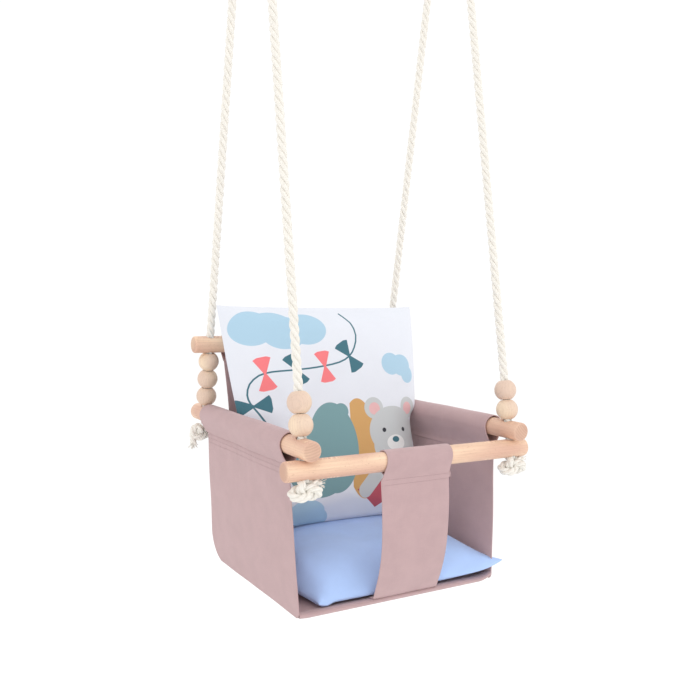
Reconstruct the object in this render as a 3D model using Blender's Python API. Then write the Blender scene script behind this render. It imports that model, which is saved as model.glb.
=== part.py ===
"""Toddler bucket swing: a canvas sling on four wooden dowels, hung by two folded ropes.

Metres, +Z up, the front towards -Y. Left and right are as seen from the front: left is -X.
The origin lies midway between the two hang rings, on the line that the swing turns about.
"""

import math

import bmesh
import bpy
from mathutils import Matrix, Vector

# Ropes and hang rings
RING_HEIGHT = 0.984          # swing axis above the side dowels' centre lines
ROPE_SPAN_X = 0.320          # left rope to right rope
ROPE_SPAN_Y = 0.322          # front rope hole to rear rope hole, along a side dowel
ROPE_D = 0.012
ROPE_CLEARANCE = 0.0005      # radial room round a rope in every drilled hole
RING_D = 0.045               # centre line of the hang ring
RING_WIRE_D = 0.007
EYE_RADIUS = 0.024           # bend of the rope over its ring
EYE_LENGTH = 0.075           # swing axis to the middle of the binding
BINDING_LENGTH = 0.022
BINDING_WALL = 0.0018
BINDING_ROOM = 0.0005        # between the ropes and the binding

# Wood
DOWEL_D = 0.025
SIDE_DOWEL_FRONT_END = 0.026     # past the front rope hole
SIDE_DOWEL_REAR_END = 0.032      # past the rear rope hole
FRONT_BAR_LEFT_END = 0.027       # past the left rope hole
FRONT_BAR_RIGHT_END = 0.023      # past the right rope hole
BACK_DOWEL_END = 0.026           # past each rope hole
DOWEL_ROUNDING = 0.003
BEAD_D = 0.030
BEAD_RIM = 0.0004                # flat left round a bead's hole
FRONT_BEADS = 2
REAR_BEADS = 3

# Knots
KNOT_HALF_WIDTH = 0.021
KNOT_HALF_DEPTH = 0.016
KNOT_HEIGHT = 0.027
KNOT_ROUNDING = 0.006
ROPE_STUB = 0.001                # rope that shows between the wood and its knot

# Canvas
CANVAS = 0.002                   # a doubled layer
BASE_THICKNESS = 0.003
CASING_ROOM = 0.0004             # radial room between a dowel and its casing
CASING_TAIL = 0.034              # dowel centre to where a casing's two layers meet
SEAT_DROP = 0.216                # side dowel centre to the underside of the base
BASE_HALF_WIDTH = 0.152          # middle of the side panels at the bottom
CASING_FRONT = 0.032             # behind the front rope hole
CASING_REAR = 0.017              # in front of the rear rope hole
BASE_FRONT = 0.019               # behind the front rope hole
REAR_CORNER_RADIUS = 0.042
BACK_PANEL_WIDTH = 0.280
STRAP_WIDTH = 0.100
STRAP_SEAM_FORWARD = 0.010       # where the strap's casing meets, before the front bar's centre
STRAP_SEAM_DROP = 0.021

# Cushions
SEAT_CUSHION_WIDTH = 0.288
SEAT_CUSHION_FRONT = 0.028       # behind the front rope hole
SEAT_CUSHION_DEPTH = 0.262
SEAT_CUSHION_BELOW = 0.020       # seam to the flat underside
SEAT_CUSHION_ABOVE = 0.041       # seam to the crown
BACK_CUSHION_WIDTH = 0.336       # above the side dowels
BACK_CUSHION_FOOT_WIDTH = 0.280  # squeezed between the side panels
BACK_CUSHION_HEIGHT = 0.328
BACK_CUSHION_BULGE = 0.026       # front half, from the seam to the crown
BACK_CUSHION_REAR = 0.004        # rear half, nearly flat against the back panel
BACK_CUSHION_LEAN = math.radians(16.2)
BACK_CUSHION_TURN = math.radians(2.5)    # its right side sits further forward
BACK_CUSHION_FOOT = 0.172        # lower edge behind the front rope hole
BACK_CUSHION_ROOM = 0.004        # over the side casings before it widens

GAP = 0.0003                     # left between pieces that touch
OVERLAP = 0.002                  # how far a cutter passes a face

DOWEL_SIDES = 24
BEAD_SEGMENTS = 20
BEAD_RINGS = 10
PILLOW_STEPS = 10

# Worked out from the sizes above
DOWEL_R = DOWEL_D / 2
ROPE_R = ROPE_D / 2
HOLE_R = ROPE_R + ROPE_CLEARANCE
BEAD_R = BEAD_D / 2
BEAD_HEIGHT = 2 * math.sqrt(BEAD_R ** 2 - (HOLE_R + BEAD_RIM) ** 2)
LEG_OFFSET = ROPE_R + GAP / 2
FRONT_HOLE_Y = -ROPE_SPAN_Y / 2
REAR_HOLE_Y = ROPE_SPAN_Y / 2
SIDE_X = ROPE_SPAN_X / 2
DOWEL_Z = -RING_HEIGHT
CASING_R = DOWEL_R + CASING_ROOM + CANVAS
BINDING_FOOT_Z = -EYE_LENGTH - BINDING_LENGTH / 2
LEAN = math.atan((ROPE_SPAN_Y / 2 - LEG_OFFSET) / (RING_HEIGHT + BINDING_FOOT_Z))
UP_FRONT = Vector((0, math.sin(LEAN), math.cos(LEAN)))
UP_REAR = Vector((0, -math.sin(LEAN), math.cos(LEAN)))
BASE_TOP = DOWEL_Z - SEAT_DROP + BASE_THICKNESS
REAR_EDGE_Y = REAR_HOLE_Y - CASING_REAR

# Distances along a rope from the side dowel's centre line
FIRST_BEAD = (
    DOWEL_R + GAP + BEAD_HEIGHT / 2 * math.cos(LEAN) + (HOLE_R + BEAD_RIM) * math.sin(LEAN)
) / math.cos(LEAN)
BEAD_STEP = BEAD_HEIGHT + GAP
BACK_DOWEL_RISE = FIRST_BEAD + (REAR_BEADS - 1) * BEAD_STEP + BEAD_HEIGHT / 2 + GAP + DOWEL_R
FRONT_BAR_DROP = (DOWEL_D + GAP) / math.cos(LEAN)
FRONT_ROPE_END = FRONT_BAR_DROP + DOWEL_R + ROPE_STUB
REAR_ROPE_END = (DOWEL_R + GAP) / math.cos(LEAN) + KNOT_HALF_DEPTH * math.tan(LEAN) + ROPE_STUB

COLOURS = {
    "steel": ((0.60, 0.61, 0.62), 0.3, 1.0),
    "cotton": ((0.86, 0.82, 0.74), 0.9, 0.0),
    "twine": ((0.80, 0.74, 0.62), 0.9, 0.0),
    "beech": ((0.84, 0.64, 0.47), 0.5, 0.0),
    "bead_wood": ((0.84, 0.70, 0.55), 0.5, 0.0),
    "canvas": ((0.56, 0.40, 0.38), 0.9, 0.0),
    "print_cotton": ((0.88, 0.89, 0.92), 0.85, 0.0),
    "blue_cotton": ((0.40, 0.52, 0.86), 0.85, 0.0),
}


def clear_scene():
    for item in list(bpy.data.objects):
        bpy.data.objects.remove(item, do_unlink=True)


def material(name):
    """The named finish, made once."""
    found = bpy.data.materials.get(name)
    if found:
        return found
    colour, roughness, metallic = COLOURS[name]
    made = bpy.data.materials.new(name)
    made.use_nodes = True
    shader = made.node_tree.nodes["Principled BSDF"]
    shader.inputs["Base Color"].default_value = (*colour, 1.0)
    shader.inputs["Roughness"].default_value = roughness
    shader.inputs["Metallic"].default_value = metallic
    return made


def add_object(name, mesh, finish, smooth=True):
    """Link a mesh to the scene as one sub-part."""
    item = bpy.data.objects.new(name, mesh)
    bpy.context.scene.collection.objects.link(item)
    mesh.materials.clear()
    mesh.materials.append(material(finish))
    if smooth:
        mesh.shade_smooth()
        mesh.set_sharp_from_angle(angle=math.radians(40))
    return item


def mesh_from(name, build):
    """A mesh whose bmesh the given function fills."""
    shape = bmesh.new()
    build(shape)
    bmesh.ops.recalc_face_normals(shape, faces=shape.faces)
    if shape.calc_volume(signed=True) < 0:
        bmesh.ops.reverse_faces(shape, faces=shape.faces)
    mesh = bpy.data.meshes.new(name)
    shape.to_mesh(mesh)
    shape.free()
    return mesh


def turned(name, profile, sides):
    """A closed solid turned about Z from (radius, z) points that run from pole to pole."""
    def build(shape):
        points = [shape.verts.new((radius, 0, z)) for radius, z in profile]
        edges = [shape.edges.new(pair) for pair in zip(points, points[1:])]
        bmesh.ops.spin(
            shape, geom=points + edges, cent=(0, 0, 0), axis=(0, 0, 1),
            angle=math.tau, steps=sides, use_duplicate=False,
        )
        bmesh.ops.remove_doubles(shape, verts=shape.verts, dist=1e-6)
    return mesh_from(name, build)


def prism(name, outline, low, high, axis):
    """Extrude a closed outline along X or Y, from low to high.

    The outline holds (y, z) points for axis X, and (x, z) points for axis Y.
    """
    def place(first, z, along):
        return (along, first, z) if axis == "X" else (first, along, z)

    def build(shape):
        face = shape.faces.new([shape.verts.new(place(a, z, low)) for a, z in outline])
        grown = bmesh.ops.extrude_face_region(shape, geom=[face])["geom"]
        moved = [part for part in grown if isinstance(part, bmesh.types.BMVert)]
        shift = Vector(place(0, 0, high - low))
        bmesh.ops.translate(shape, vec=shift, verts=moved)
    return mesh_from(name, build)


def apply_boolean(item, cutter_mesh, operation):
    """Cut an object with, or down to, another mesh, and keep the result."""
    cutter = bpy.data.objects.new("cutter", cutter_mesh)
    bpy.context.scene.collection.objects.link(cutter)
    cutter.matrix_world = item.matrix_world
    change = item.modifiers.new("cut", "BOOLEAN")
    change.operation = operation
    change.solver = "EXACT"
    change.object = cutter
    bpy.context.view_layer.update()
    graph = bpy.context.evaluated_depsgraph_get()
    result = bpy.data.meshes.new_from_object(item.evaluated_get(graph))
    item.modifiers.remove(change)
    item.data = result
    bpy.data.objects.remove(cutter, do_unlink=True)
    result.shade_smooth()
    result.set_sharp_from_angle(angle=math.radians(40))


def rod_mesh(radius, start, end, sides):
    """A plain rod from one point to another."""
    start, end = Vector(start), Vector(end)
    run = end - start
    turn = run.to_track_quat("Z", "Y").to_matrix().to_4x4()

    def build(shape):
        bmesh.ops.create_cone(
            shape, cap_ends=True, segments=sides, radius1=radius, radius2=radius,
            depth=run.length, matrix=Matrix.Translation((start + end) / 2) @ turn,
        )
    return mesh_from("rod", build)


def arc(centre, radius, start_deg, end_deg, steps):
    """Points on an arc, both ends included."""
    points = []
    for step in range(steps + 1):
        angle = math.radians(start_deg + (end_deg - start_deg) * step / steps)
        points.append((centre[0] + radius * math.cos(angle), centre[1] + radius * math.sin(angle)))
    return points


def front_point(distance):
    """(y, z) on the front rope, a distance up from the side dowel's centre line."""
    return (FRONT_HOLE_Y + UP_FRONT.y * distance, DOWEL_Z + UP_FRONT.z * distance)


def rear_point(distance):
    """(y, z) on the rear rope, a distance up from the side dowel's centre line."""
    return (REAR_HOLE_Y + UP_REAR.y * distance, DOWEL_Z + UP_REAR.z * distance)


# ---------------------------------------------------------------- rings and ropes

def make_ring(side, x):
    """A round steel ring that stands across the rope, its lowest wire on the swing axis."""
    bpy.ops.mesh.primitive_torus_add(
        major_segments=28, minor_segments=10,
        major_radius=RING_D / 2, minor_radius=RING_WIRE_D / 2,
        location=(x, 0, RING_D / 2), rotation=(math.pi / 2, 0, 0),
    )
    item = bpy.context.active_object
    item.name = f"{side}_hang_ring"
    item.data.materials.append(material("steel"))
    item.data.shade_smooth()


def smooth_curve(points, steps):
    """Catmull-Rom curve through the points, with a few samples between each two."""
    points = [Vector(point) for point in points]
    padded = [2 * points[0] - points[1]] + points + [2 * points[-1] - points[-2]]
    curve = []
    for before, start, end, after in zip(padded, padded[1:], padded[2:], padded[3:]):
        for step in range(steps):
            t = step / steps
            curve.append(0.5 * (
                2 * start + (end - before) * t
                + (2 * before - 5 * start + 4 * end - after) * t ** 2
                + (3 * start - before - 3 * end + after) * t ** 3
            ))
    return curve + [points[-1]]


def rope_route():
    """(y, z) points of a whole rope, from the front knot over the ring to the rear knot."""
    leg_length = (RING_HEIGHT + BINDING_FOOT_Z) / math.cos(LEAN)
    shares = (0.0, 0.12, 0.24, 0.36, 0.48, 0.60, 0.72, 0.84, 0.94, 0.975)
    front_leg = [front_point(-FRONT_ROPE_END)] + [front_point(share * leg_length) for share in shares]
    rear_leg = [rear_point(-REAR_ROPE_END)] + [rear_point(share * leg_length) for share in shares]
    eye_top = RING_WIRE_D / 2 + GAP + ROPE_R
    half_eye = [(LEG_OFFSET, -EYE_LENGTH + BINDING_LENGTH * share) for share in (-0.5, 0, 0.5)]
    half_eye += arc((0, eye_top - EYE_RADIUS), EYE_RADIUS, -25, 70, 4)
    left_half = [(-y, z) for y, z in half_eye]
    return front_leg + left_half + [(0, eye_top)] + half_eye[::-1] + rear_leg[::-1]


def make_rope(side, x):
    """The rope as a tube along its route."""
    points = smooth_curve([(x, y, z) for y, z in rope_route()], 2)
    curve = bpy.data.curves.new(f"{side}_rope", "CURVE")
    curve.dimensions = "3D"
    curve.bevel_depth = ROPE_R
    curve.bevel_resolution = 3
    curve.use_fill_caps = True
    spline = curve.splines.new("POLY")
    spline.points.add(len(points) - 1)
    for place, point in zip(spline.points, points):
        place.co = (*point, 1.0)
    curve.materials.append(material("cotton"))
    item = bpy.data.objects.new(f"{side}_rope", curve)
    bpy.context.scene.collection.objects.link(item)


def stadium(half_gap, radius, steps):
    """(x, y) outline round two circles that stand half_gap each side of the middle."""
    front = arc((0, -half_gap), radius, 180, 360, steps)
    rear = arc((0, half_gap), radius, 0, 180, steps)
    return front + rear


def make_binding(side, x):
    """Twine wound round both legs of a rope, just below its eye."""
    inner = stadium(LEG_OFFSET, ROPE_R + BINDING_ROOM, 8)
    outer = stadium(LEG_OFFSET, ROPE_R + BINDING_ROOM + BINDING_WALL, 8)
    count = len(inner)

    def build(shape):
        loops = []
        for z in (-BINDING_LENGTH / 2, BINDING_LENGTH / 2):
            for outline in (outer, inner):
                loops.append([shape.verts.new((px, py, z)) for px, py in outline])
        low_out, low_in, high_out, high_in = loops
        for step in range(count):
            ahead = (step + 1) % count
            for first, second in (
                (low_out, high_out), (high_out, high_in), (high_in, low_in), (low_in, low_out),
            ):
                shape.faces.new((first[step], first[ahead], second[ahead], second[step]))
    item = add_object(f"{side}_rope_binding", mesh_from("binding", build), "twine")
    item.location = (x, 0, -EYE_LENGTH)


def make_knot(name, x, place, up):
    """The stopper knot's outer shape, hung under the rope's end and square to it."""
    def build(shape):
        bmesh.ops.create_cone(
            shape, cap_ends=True, segments=16, radius1=1, radius2=1, depth=KNOT_HEIGHT,
            matrix=Matrix.Diagonal((KNOT_HALF_WIDTH, KNOT_HALF_DEPTH, 1, 1)),
        )
        rims = [edge for edge in shape.edges if abs(edge.verts[0].co.z - edge.verts[1].co.z) < 1e-6]
        bmesh.ops.bevel(
            shape, geom=rims, offset=KNOT_ROUNDING, segments=3, profile=0.5, affect="EDGES",
        )
    item = add_object(name, mesh_from("knot", build), "cotton")
    centre = Vector((x, *place)) - up * (KNOT_HEIGHT / 2 + GAP)
    item.matrix_world = Matrix.Translation(centre) @ up.to_track_quat("Z", "Y").to_matrix().to_4x4()


# ---------------------------------------------------------------- wood

def dowel_mesh(name, length):
    """A round dowel along Z with softened ends, centred on the origin."""
    inner = DOWEL_R - DOWEL_ROUNDING
    half = length / 2
    top = arc((inner, half - DOWEL_ROUNDING), DOWEL_ROUNDING, 90, 0, 3)
    profile = [(0, half)] + top + [(radius, -z) for radius, z in reversed(top)] + [(0, -half)]
    return turned(name, profile, DOWEL_SIDES)


def drill(item, centre, direction):
    """A rope hole through a dowel."""
    reach = direction * (DOWEL_R + OVERLAP) * 2
    centre = Vector(centre)
    local = item.matrix_world.inverted()
    apply_boolean(item, rod_mesh(HOLE_R, local @ (centre - reach), local @ (centre + reach), 20),
                  "DIFFERENCE")


def make_side_dowel(side, x):
    length = SIDE_DOWEL_FRONT_END + ROPE_SPAN_Y + SIDE_DOWEL_REAR_END
    item = add_object(f"{side}_side_dowel", dowel_mesh("side_dowel", length), "beech")
    centre_y = (SIDE_DOWEL_REAR_END - SIDE_DOWEL_FRONT_END) / 2
    item.matrix_world = Matrix.Translation((x, centre_y, DOWEL_Z)) @ Matrix.Rotation(math.pi / 2, 4, "X")
    drill(item, (x, FRONT_HOLE_Y, DOWEL_Z), UP_FRONT)
    drill(item, (x, REAR_HOLE_Y, DOWEL_Z), UP_REAR)


def make_cross_dowel(name, left_end, right_end, place, up):
    """A dowel from side to side, drilled for both ropes."""
    item = add_object(name, dowel_mesh(name, left_end + ROPE_SPAN_X + right_end), "beech")
    centre = ((right_end - left_end) / 2, *place)
    item.matrix_world = Matrix.Translation(centre) @ Matrix.Rotation(math.pi / 2, 4, "Y")
    for x in (-SIDE_X, SIDE_X):
        drill(item, (x, *place), up)


def bead_mesh():
    """A ball with a rope hole and a narrow flat round it, its hole along Z."""
    flat = HOLE_R + BEAD_RIM
    start = math.degrees(math.acos(flat / BEAD_R))
    ball = arc((0, 0), BEAD_R, start, -start, BEAD_RINGS)
    outline = [(HOLE_R, BEAD_HEIGHT / 2)] + ball + [(HOLE_R, -BEAD_HEIGHT / 2)]

    def build(shape):
        points = [shape.verts.new((radius, 0, z)) for radius, z in outline]
        edges = [shape.edges.new(pair) for pair in zip(points, points[1:] + points[:1])]
        bmesh.ops.spin(
            shape, geom=points + edges, cent=(0, 0, 0), axis=(0, 0, 1),
            angle=math.tau, steps=BEAD_SEGMENTS, use_duplicate=False,
        )
        bmesh.ops.remove_doubles(shape, verts=shape.verts, dist=1e-6)
    return mesh_from("bead", build)


def make_beads(side, x):
    for row, count, point, up in (
        ("front", FRONT_BEADS, front_point, UP_FRONT),
        ("rear", REAR_BEADS, rear_point, UP_REAR),
    ):
        for number in range(count):
            item = add_object(f"{side}_{row}_bead_{number + 1}", bead_mesh(), "bead_wood")
            centre = (x, *point(FIRST_BEAD + number * BEAD_STEP))
            turn = up.to_track_quat("Z", "Y").to_matrix().to_4x4()
            item.matrix_world = Matrix.Translation(centre) @ turn


# ---------------------------------------------------------------- canvas

def casing_outline(dowel, meet, foot):
    """Outline of a casing round a dowel whose two layers meet below it and run on to a foot.

    All three are (across, z) points in the plane that the canvas is extruded out of.
    """
    dowel, meet, foot = Vector(dowel), Vector(meet), Vector(foot)
    down = (foot - meet).normalized()
    across = Vector((-down.y, down.x)) * CANVAS / 2
    first, second = meet + across, meet - across
    outline = [foot + across, first]
    outline += [Vector(point) for point in arc(
        dowel, CASING_R, tangent_angle(dowel, first, 1), tangent_angle(dowel, second, -1) + 360, 14)]
    return outline + [second, foot - across]


def tangent_angle(centre, point, side):
    """Angle in degrees, on a casing's circle, of the tangent from a point."""
    offset = Vector(point) - Vector(centre)
    spread = math.degrees(math.acos(CASING_R / offset.length))
    return math.degrees(math.atan2(offset.y, offset.x)) + side * spread


def make_side_panel(side, x):
    """A side of the sling: a casing round the side dowel, and the panel down to the base."""
    sign = 1 if x > 0 else -1
    foot = (sign * BASE_HALF_WIDTH, DOWEL_Z - SEAT_DROP)
    outline = casing_outline((x, DOWEL_Z), (x, DOWEL_Z - CASING_TAIL), foot)
    front, rear = FRONT_HOLE_Y + CASING_FRONT, REAR_EDGE_Y
    low_front = FRONT_HOLE_Y + BASE_FRONT
    item = add_object(
        f"{side}_side_panel",
        prism("side_panel", outline, min(front, low_front) - OVERLAP, rear + OVERLAP, "Y"), "canvas")
    top, bottom = DOWEL_Z + CASING_R + OVERLAP, DOWEL_Z - SEAT_DROP
    corner = arc((rear - REAR_CORNER_RADIUS, bottom + REAR_CORNER_RADIUS), REAR_CORNER_RADIUS, -90, 0, 6)
    cut_out = [(low_front, bottom)] + corner + [(rear, top), (front, top), (front, DOWEL_Z - CASING_TAIL)]
    reach = abs(x) + DOWEL_D
    apply_boolean(item, prism("side_view", cut_out, -reach, reach, "X"), "INTERSECT")
    bore = rod_mesh(
        DOWEL_R + CASING_ROOM, (x, front - DOWEL_D, DOWEL_Z), (x, rear + DOWEL_D, DOWEL_Z), DOWEL_SIDES)
    apply_boolean(item, bore, "DIFFERENCE")


def make_seat_base():
    """The bottom of the sling, which turns up at the rear to meet the back panel."""
    bottom = DOWEL_Z - SEAT_DROP
    rear = REAR_EDGE_Y
    centre = (rear - REAR_CORNER_RADIUS, bottom + REAR_CORNER_RADIUS)
    outer = arc(centre, REAR_CORNER_RADIUS, -90, 0, 6)
    inner = arc(centre, REAR_CORNER_RADIUS - BASE_THICKNESS, 0, -90, 6)
    front = FRONT_HOLE_Y + BASE_FRONT
    outline = [(front, bottom)] + outer + inner + [(front, bottom + BASE_THICKNESS)]
    half = BASE_HALF_WIDTH - CANVAS / 2 - 2 * GAP
    add_object("seat_base", prism("seat_base", outline, -half, half, "X"), "canvas")


def make_back_panel():
    """The back of the sling, hung from the back dowel."""
    dowel = rear_point(BACK_DOWEL_RISE)
    meet = (dowel[0], dowel[1] - CASING_TAIL)
    foot = (REAR_EDGE_Y - BASE_THICKNESS / 2, DOWEL_Z - SEAT_DROP + REAR_CORNER_RADIUS + GAP)
    outline = casing_outline(dowel, meet, foot)
    half = BACK_PANEL_WIDTH / 2
    item = add_object("back_panel", prism("back_panel", outline, -half, half, "X"), "canvas")
    bore = rod_mesh(DOWEL_R + CASING_ROOM, (-half - DOWEL_D, *dowel), (half + DOWEL_D, *dowel), DOWEL_SIDES)
    apply_boolean(item, bore, "DIFFERENCE")


def make_front_strap():
    """The strap from the front bar down to the front edge of the base."""
    bar = front_point(-FRONT_BAR_DROP)
    foot_z = BASE_TOP + GAP
    foot = (FRONT_HOLE_Y + BASE_FRONT + CANVAS, foot_z)
    meet = (bar[0] - STRAP_SEAM_FORWARD, bar[1] - STRAP_SEAM_DROP)
    outline = casing_outline(bar, meet, foot)
    outline[0].y = foot_z
    outline[-1].y = foot_z
    half = STRAP_WIDTH / 2
    item = add_object("front_strap", prism("front_strap", outline, -half, half, "X"), "canvas")
    bore = rod_mesh(DOWEL_R + CASING_ROOM, (-half - DOWEL_D, *bar), (half + DOWEL_D, *bar), DOWEL_SIDES)
    apply_boolean(item, bore, "DIFFERENCE")


# ---------------------------------------------------------------- cushions

def pillow_mesh(name, width_at, length, above, below, foot_fullness):
    """A pillow with its seam in the XY plane: crowned on both sides, thin along its edges.

    Y runs from 0 to the length; foot_fullness keeps the lower face nearly flat when it is small.
    """
    def bulge(u, v, power):
        return ((1 - abs(u) ** 3) * (1 - abs(v) ** 3)) ** power

    def build(shape):
        grids = []
        for height, power in ((above, 0.5), (-below, foot_fullness)):
            grid = []
            for row in range(PILLOW_STEPS + 1):
                v = -math.cos(math.pi * row / PILLOW_STEPS)
                line = []
                for column in range(PILLOW_STEPS + 1):
                    u = -math.cos(math.pi * column / PILLOW_STEPS)
                    y = (v + 1) / 2 * length
                    x = u * width_at((v + 1) / 2) / 2
                    edge = row in (0, PILLOW_STEPS) or column in (0, PILLOW_STEPS)
                    z = 0 if edge else height * bulge(u, v, power)
                    line.append(shape.verts.new((x, y, z)))
                grid.append(line)
            grids.append(grid)
        for grid in grids:
            for row in range(PILLOW_STEPS):
                for column in range(PILLOW_STEPS):
                    shape.faces.new((
                        grid[row][column], grid[row][column + 1],
                        grid[row + 1][column + 1], grid[row + 1][column],
                    ))
        bmesh.ops.remove_doubles(shape, verts=shape.verts, dist=1e-6)
    return mesh_from(name, build)


def make_seat_cushion():
    mesh = pillow_mesh(
        "seat_cushion", lambda share: SEAT_CUSHION_WIDTH, SEAT_CUSHION_DEPTH,
        SEAT_CUSHION_ABOVE, SEAT_CUSHION_BELOW, 0.25)
    item = add_object("seat_cushion", mesh, "blue_cotton")
    item.location = (0, FRONT_HOLE_Y + SEAT_CUSHION_FRONT, BASE_TOP + GAP + SEAT_CUSHION_BELOW)


def make_back_cushion():
    crown = BASE_TOP + GAP + SEAT_CUSHION_BELOW + SEAT_CUSHION_ABOVE
    height = BACK_CUSHION_HEIGHT * math.cos(BACK_CUSHION_LEAN)
    clear = (DOWEL_Z + CASING_R + BACK_CUSHION_ROOM - crown) / height

    def width_at(share):
        """The pillow is squeezed between the side panels, and widens evenly above their casings."""
        free = min(1.0, max(0.0, (share - clear) / (1 - clear)))
        return BACK_CUSHION_FOOT_WIDTH + (BACK_CUSHION_WIDTH - BACK_CUSHION_FOOT_WIDTH) * free

    mesh = pillow_mesh(
        "back_cushion", width_at, BACK_CUSHION_HEIGHT, BACK_CUSHION_BULGE, BACK_CUSHION_REAR, 0.25)
    item = add_object("back_cushion", mesh, "print_cotton")
    foot = Matrix.Translation((0, FRONT_HOLE_Y + BACK_CUSHION_FOOT, crown + GAP))
    turn = Matrix.Rotation(-BACK_CUSHION_TURN, 4, "Z")
    item.matrix_world = foot @ turn @ Matrix.Rotation(math.pi / 2 - BACK_CUSHION_LEAN, 4, "X")


def main():
    clear_scene()
    for side, x in (("left", -SIDE_X), ("right", SIDE_X)):
        make_ring(side, x)
        make_rope(side, x)
        make_binding(side, x)
        make_side_dowel(side, x)
        make_beads(side, x)
        make_side_panel(side, x)
        make_knot(f"{side}_front_knot", x, front_point(-FRONT_ROPE_END), UP_FRONT)
        make_knot(f"{side}_rear_knot", x, rear_point(-REAR_ROPE_END), UP_REAR)
    make_cross_dowel(
        "front_bar", FRONT_BAR_LEFT_END, FRONT_BAR_RIGHT_END, front_point(-FRONT_BAR_DROP), UP_FRONT)
    make_cross_dowel(
        "back_dowel", BACK_DOWEL_END, BACK_DOWEL_END, rear_point(BACK_DOWEL_RISE), UP_REAR)
    make_seat_base()
    make_back_panel()
    make_front_strap()
    make_seat_cushion()
    make_back_cushion()


main()
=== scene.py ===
"""Look model of a toddler bucket swing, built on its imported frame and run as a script.

Metres, +Z up, the front towards -Y. Left is -X as seen from the front.
"""

import math

import bmesh
import bpy
import numpy as np
from mathutils import Matrix, Vector, noise


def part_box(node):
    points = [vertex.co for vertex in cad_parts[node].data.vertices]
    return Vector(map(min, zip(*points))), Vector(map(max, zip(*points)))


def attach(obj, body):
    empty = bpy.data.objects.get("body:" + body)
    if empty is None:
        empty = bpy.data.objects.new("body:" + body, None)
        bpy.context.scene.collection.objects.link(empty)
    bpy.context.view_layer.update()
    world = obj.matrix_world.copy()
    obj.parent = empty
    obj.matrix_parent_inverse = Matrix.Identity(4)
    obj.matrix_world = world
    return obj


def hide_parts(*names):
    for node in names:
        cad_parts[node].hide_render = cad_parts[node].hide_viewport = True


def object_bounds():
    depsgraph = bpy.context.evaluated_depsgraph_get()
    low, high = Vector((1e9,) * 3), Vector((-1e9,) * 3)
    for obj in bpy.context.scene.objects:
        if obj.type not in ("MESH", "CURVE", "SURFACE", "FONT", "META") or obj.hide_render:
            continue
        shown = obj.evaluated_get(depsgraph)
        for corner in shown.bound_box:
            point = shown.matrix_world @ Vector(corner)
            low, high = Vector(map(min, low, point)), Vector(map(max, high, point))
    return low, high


bl_info = {
    "name": "Toddler bucket swing",
    "version": (1, 0, 0),
    "blender": (4, 5, 0),
    "location": "View3D > Sidebar > Swing",
    "description": "Canvas sling swing with wooden dowels, beads, ropes and two cushions",
    "category": "Object",
}

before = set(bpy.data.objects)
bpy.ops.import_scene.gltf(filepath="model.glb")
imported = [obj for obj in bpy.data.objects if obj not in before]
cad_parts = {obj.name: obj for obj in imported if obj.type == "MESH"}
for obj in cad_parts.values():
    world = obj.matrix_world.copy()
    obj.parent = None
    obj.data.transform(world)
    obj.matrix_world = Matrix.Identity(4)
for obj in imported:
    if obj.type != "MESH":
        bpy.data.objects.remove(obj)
CAD_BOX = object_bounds()

# The frame's own sizes, which its ropes, dowels and canvas are set out by
RING_HEIGHT = 0.984
ROPE_SPAN_X = 0.320
ROPE_SPAN_Y = 0.322
ROPE_D = 0.012
HOLE_D = 0.013
RING_D = 0.045
RING_WIRE_D = 0.007
EYE_RADIUS = 0.024
EYE_LENGTH = 0.075
BINDING_LENGTH = 0.022
DOWEL_D = 0.025
BEAD_D = 0.030
GAP = 0.0003
SEAT_DROP = 0.216
BASE_HALF_WIDTH = 0.152
CASING_FRONT = 0.032
CASING_REAR = 0.017
CASING_TAIL = 0.034
BASE_FRONT = 0.019
REAR_CORNER_RADIUS = 0.042
STRAP_SEAM_FORWARD = 0.010
STRAP_SEAM_DROP = 0.021
CLOTH = 0.0016

# Sizes of the sewing, in metres
HEM_ROUNDING = 0.009
CASING_EASE = 0.0014
CASING_SWELL = ((0.0042, 0.009), (0.0108, 0.021))
BACK_HALF_WIDTH = 0.1385
BACK_WAIST = 0.012
THREAD_LIFT = 0.0001
CANVAS_WEAVE_PITCH = 0.0011
FINE_WEAVE_PITCH = 0.0007

SIDES = (("left", -1), ("right", 1))
SIDE_X = ROPE_SPAN_X / 2
DOWEL_R = DOWEL_D / 2
DOWEL_Z = -RING_HEIGHT
FRONT_HOLE_Y = -ROPE_SPAN_Y / 2
REAR_HOLE_Y = ROPE_SPAN_Y / 2
REAR_EDGE_Y = REAR_HOLE_Y - CASING_REAR
FRONT_EDGE_Y = FRONT_HOLE_Y + BASE_FRONT
BASE_Z = DOWEL_Z - SEAT_DROP
LEG_OFFSET = ROPE_D / 2 + GAP / 2
BINDING_FOOT_Z = -EYE_LENGTH - BINDING_LENGTH / 2
LEAN = math.atan((ROPE_SPAN_Y / 2 - LEG_OFFSET) / (RING_HEIGHT + BINDING_FOOT_Z))
UP_FRONT = Vector((0, math.sin(LEAN), math.cos(LEAN)))
UP_REAR = Vector((0, -math.sin(LEAN), math.cos(LEAN)))


def middle(node):
    """The middle of a frame part's box."""
    low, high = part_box(node)
    return (Vector(low) + Vector(high)) / 2


BAR = middle("front_bar")
BACK_DOWEL = middle("back_dowel")


# ---------------------------------------------------------------- sizes and colours

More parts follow.
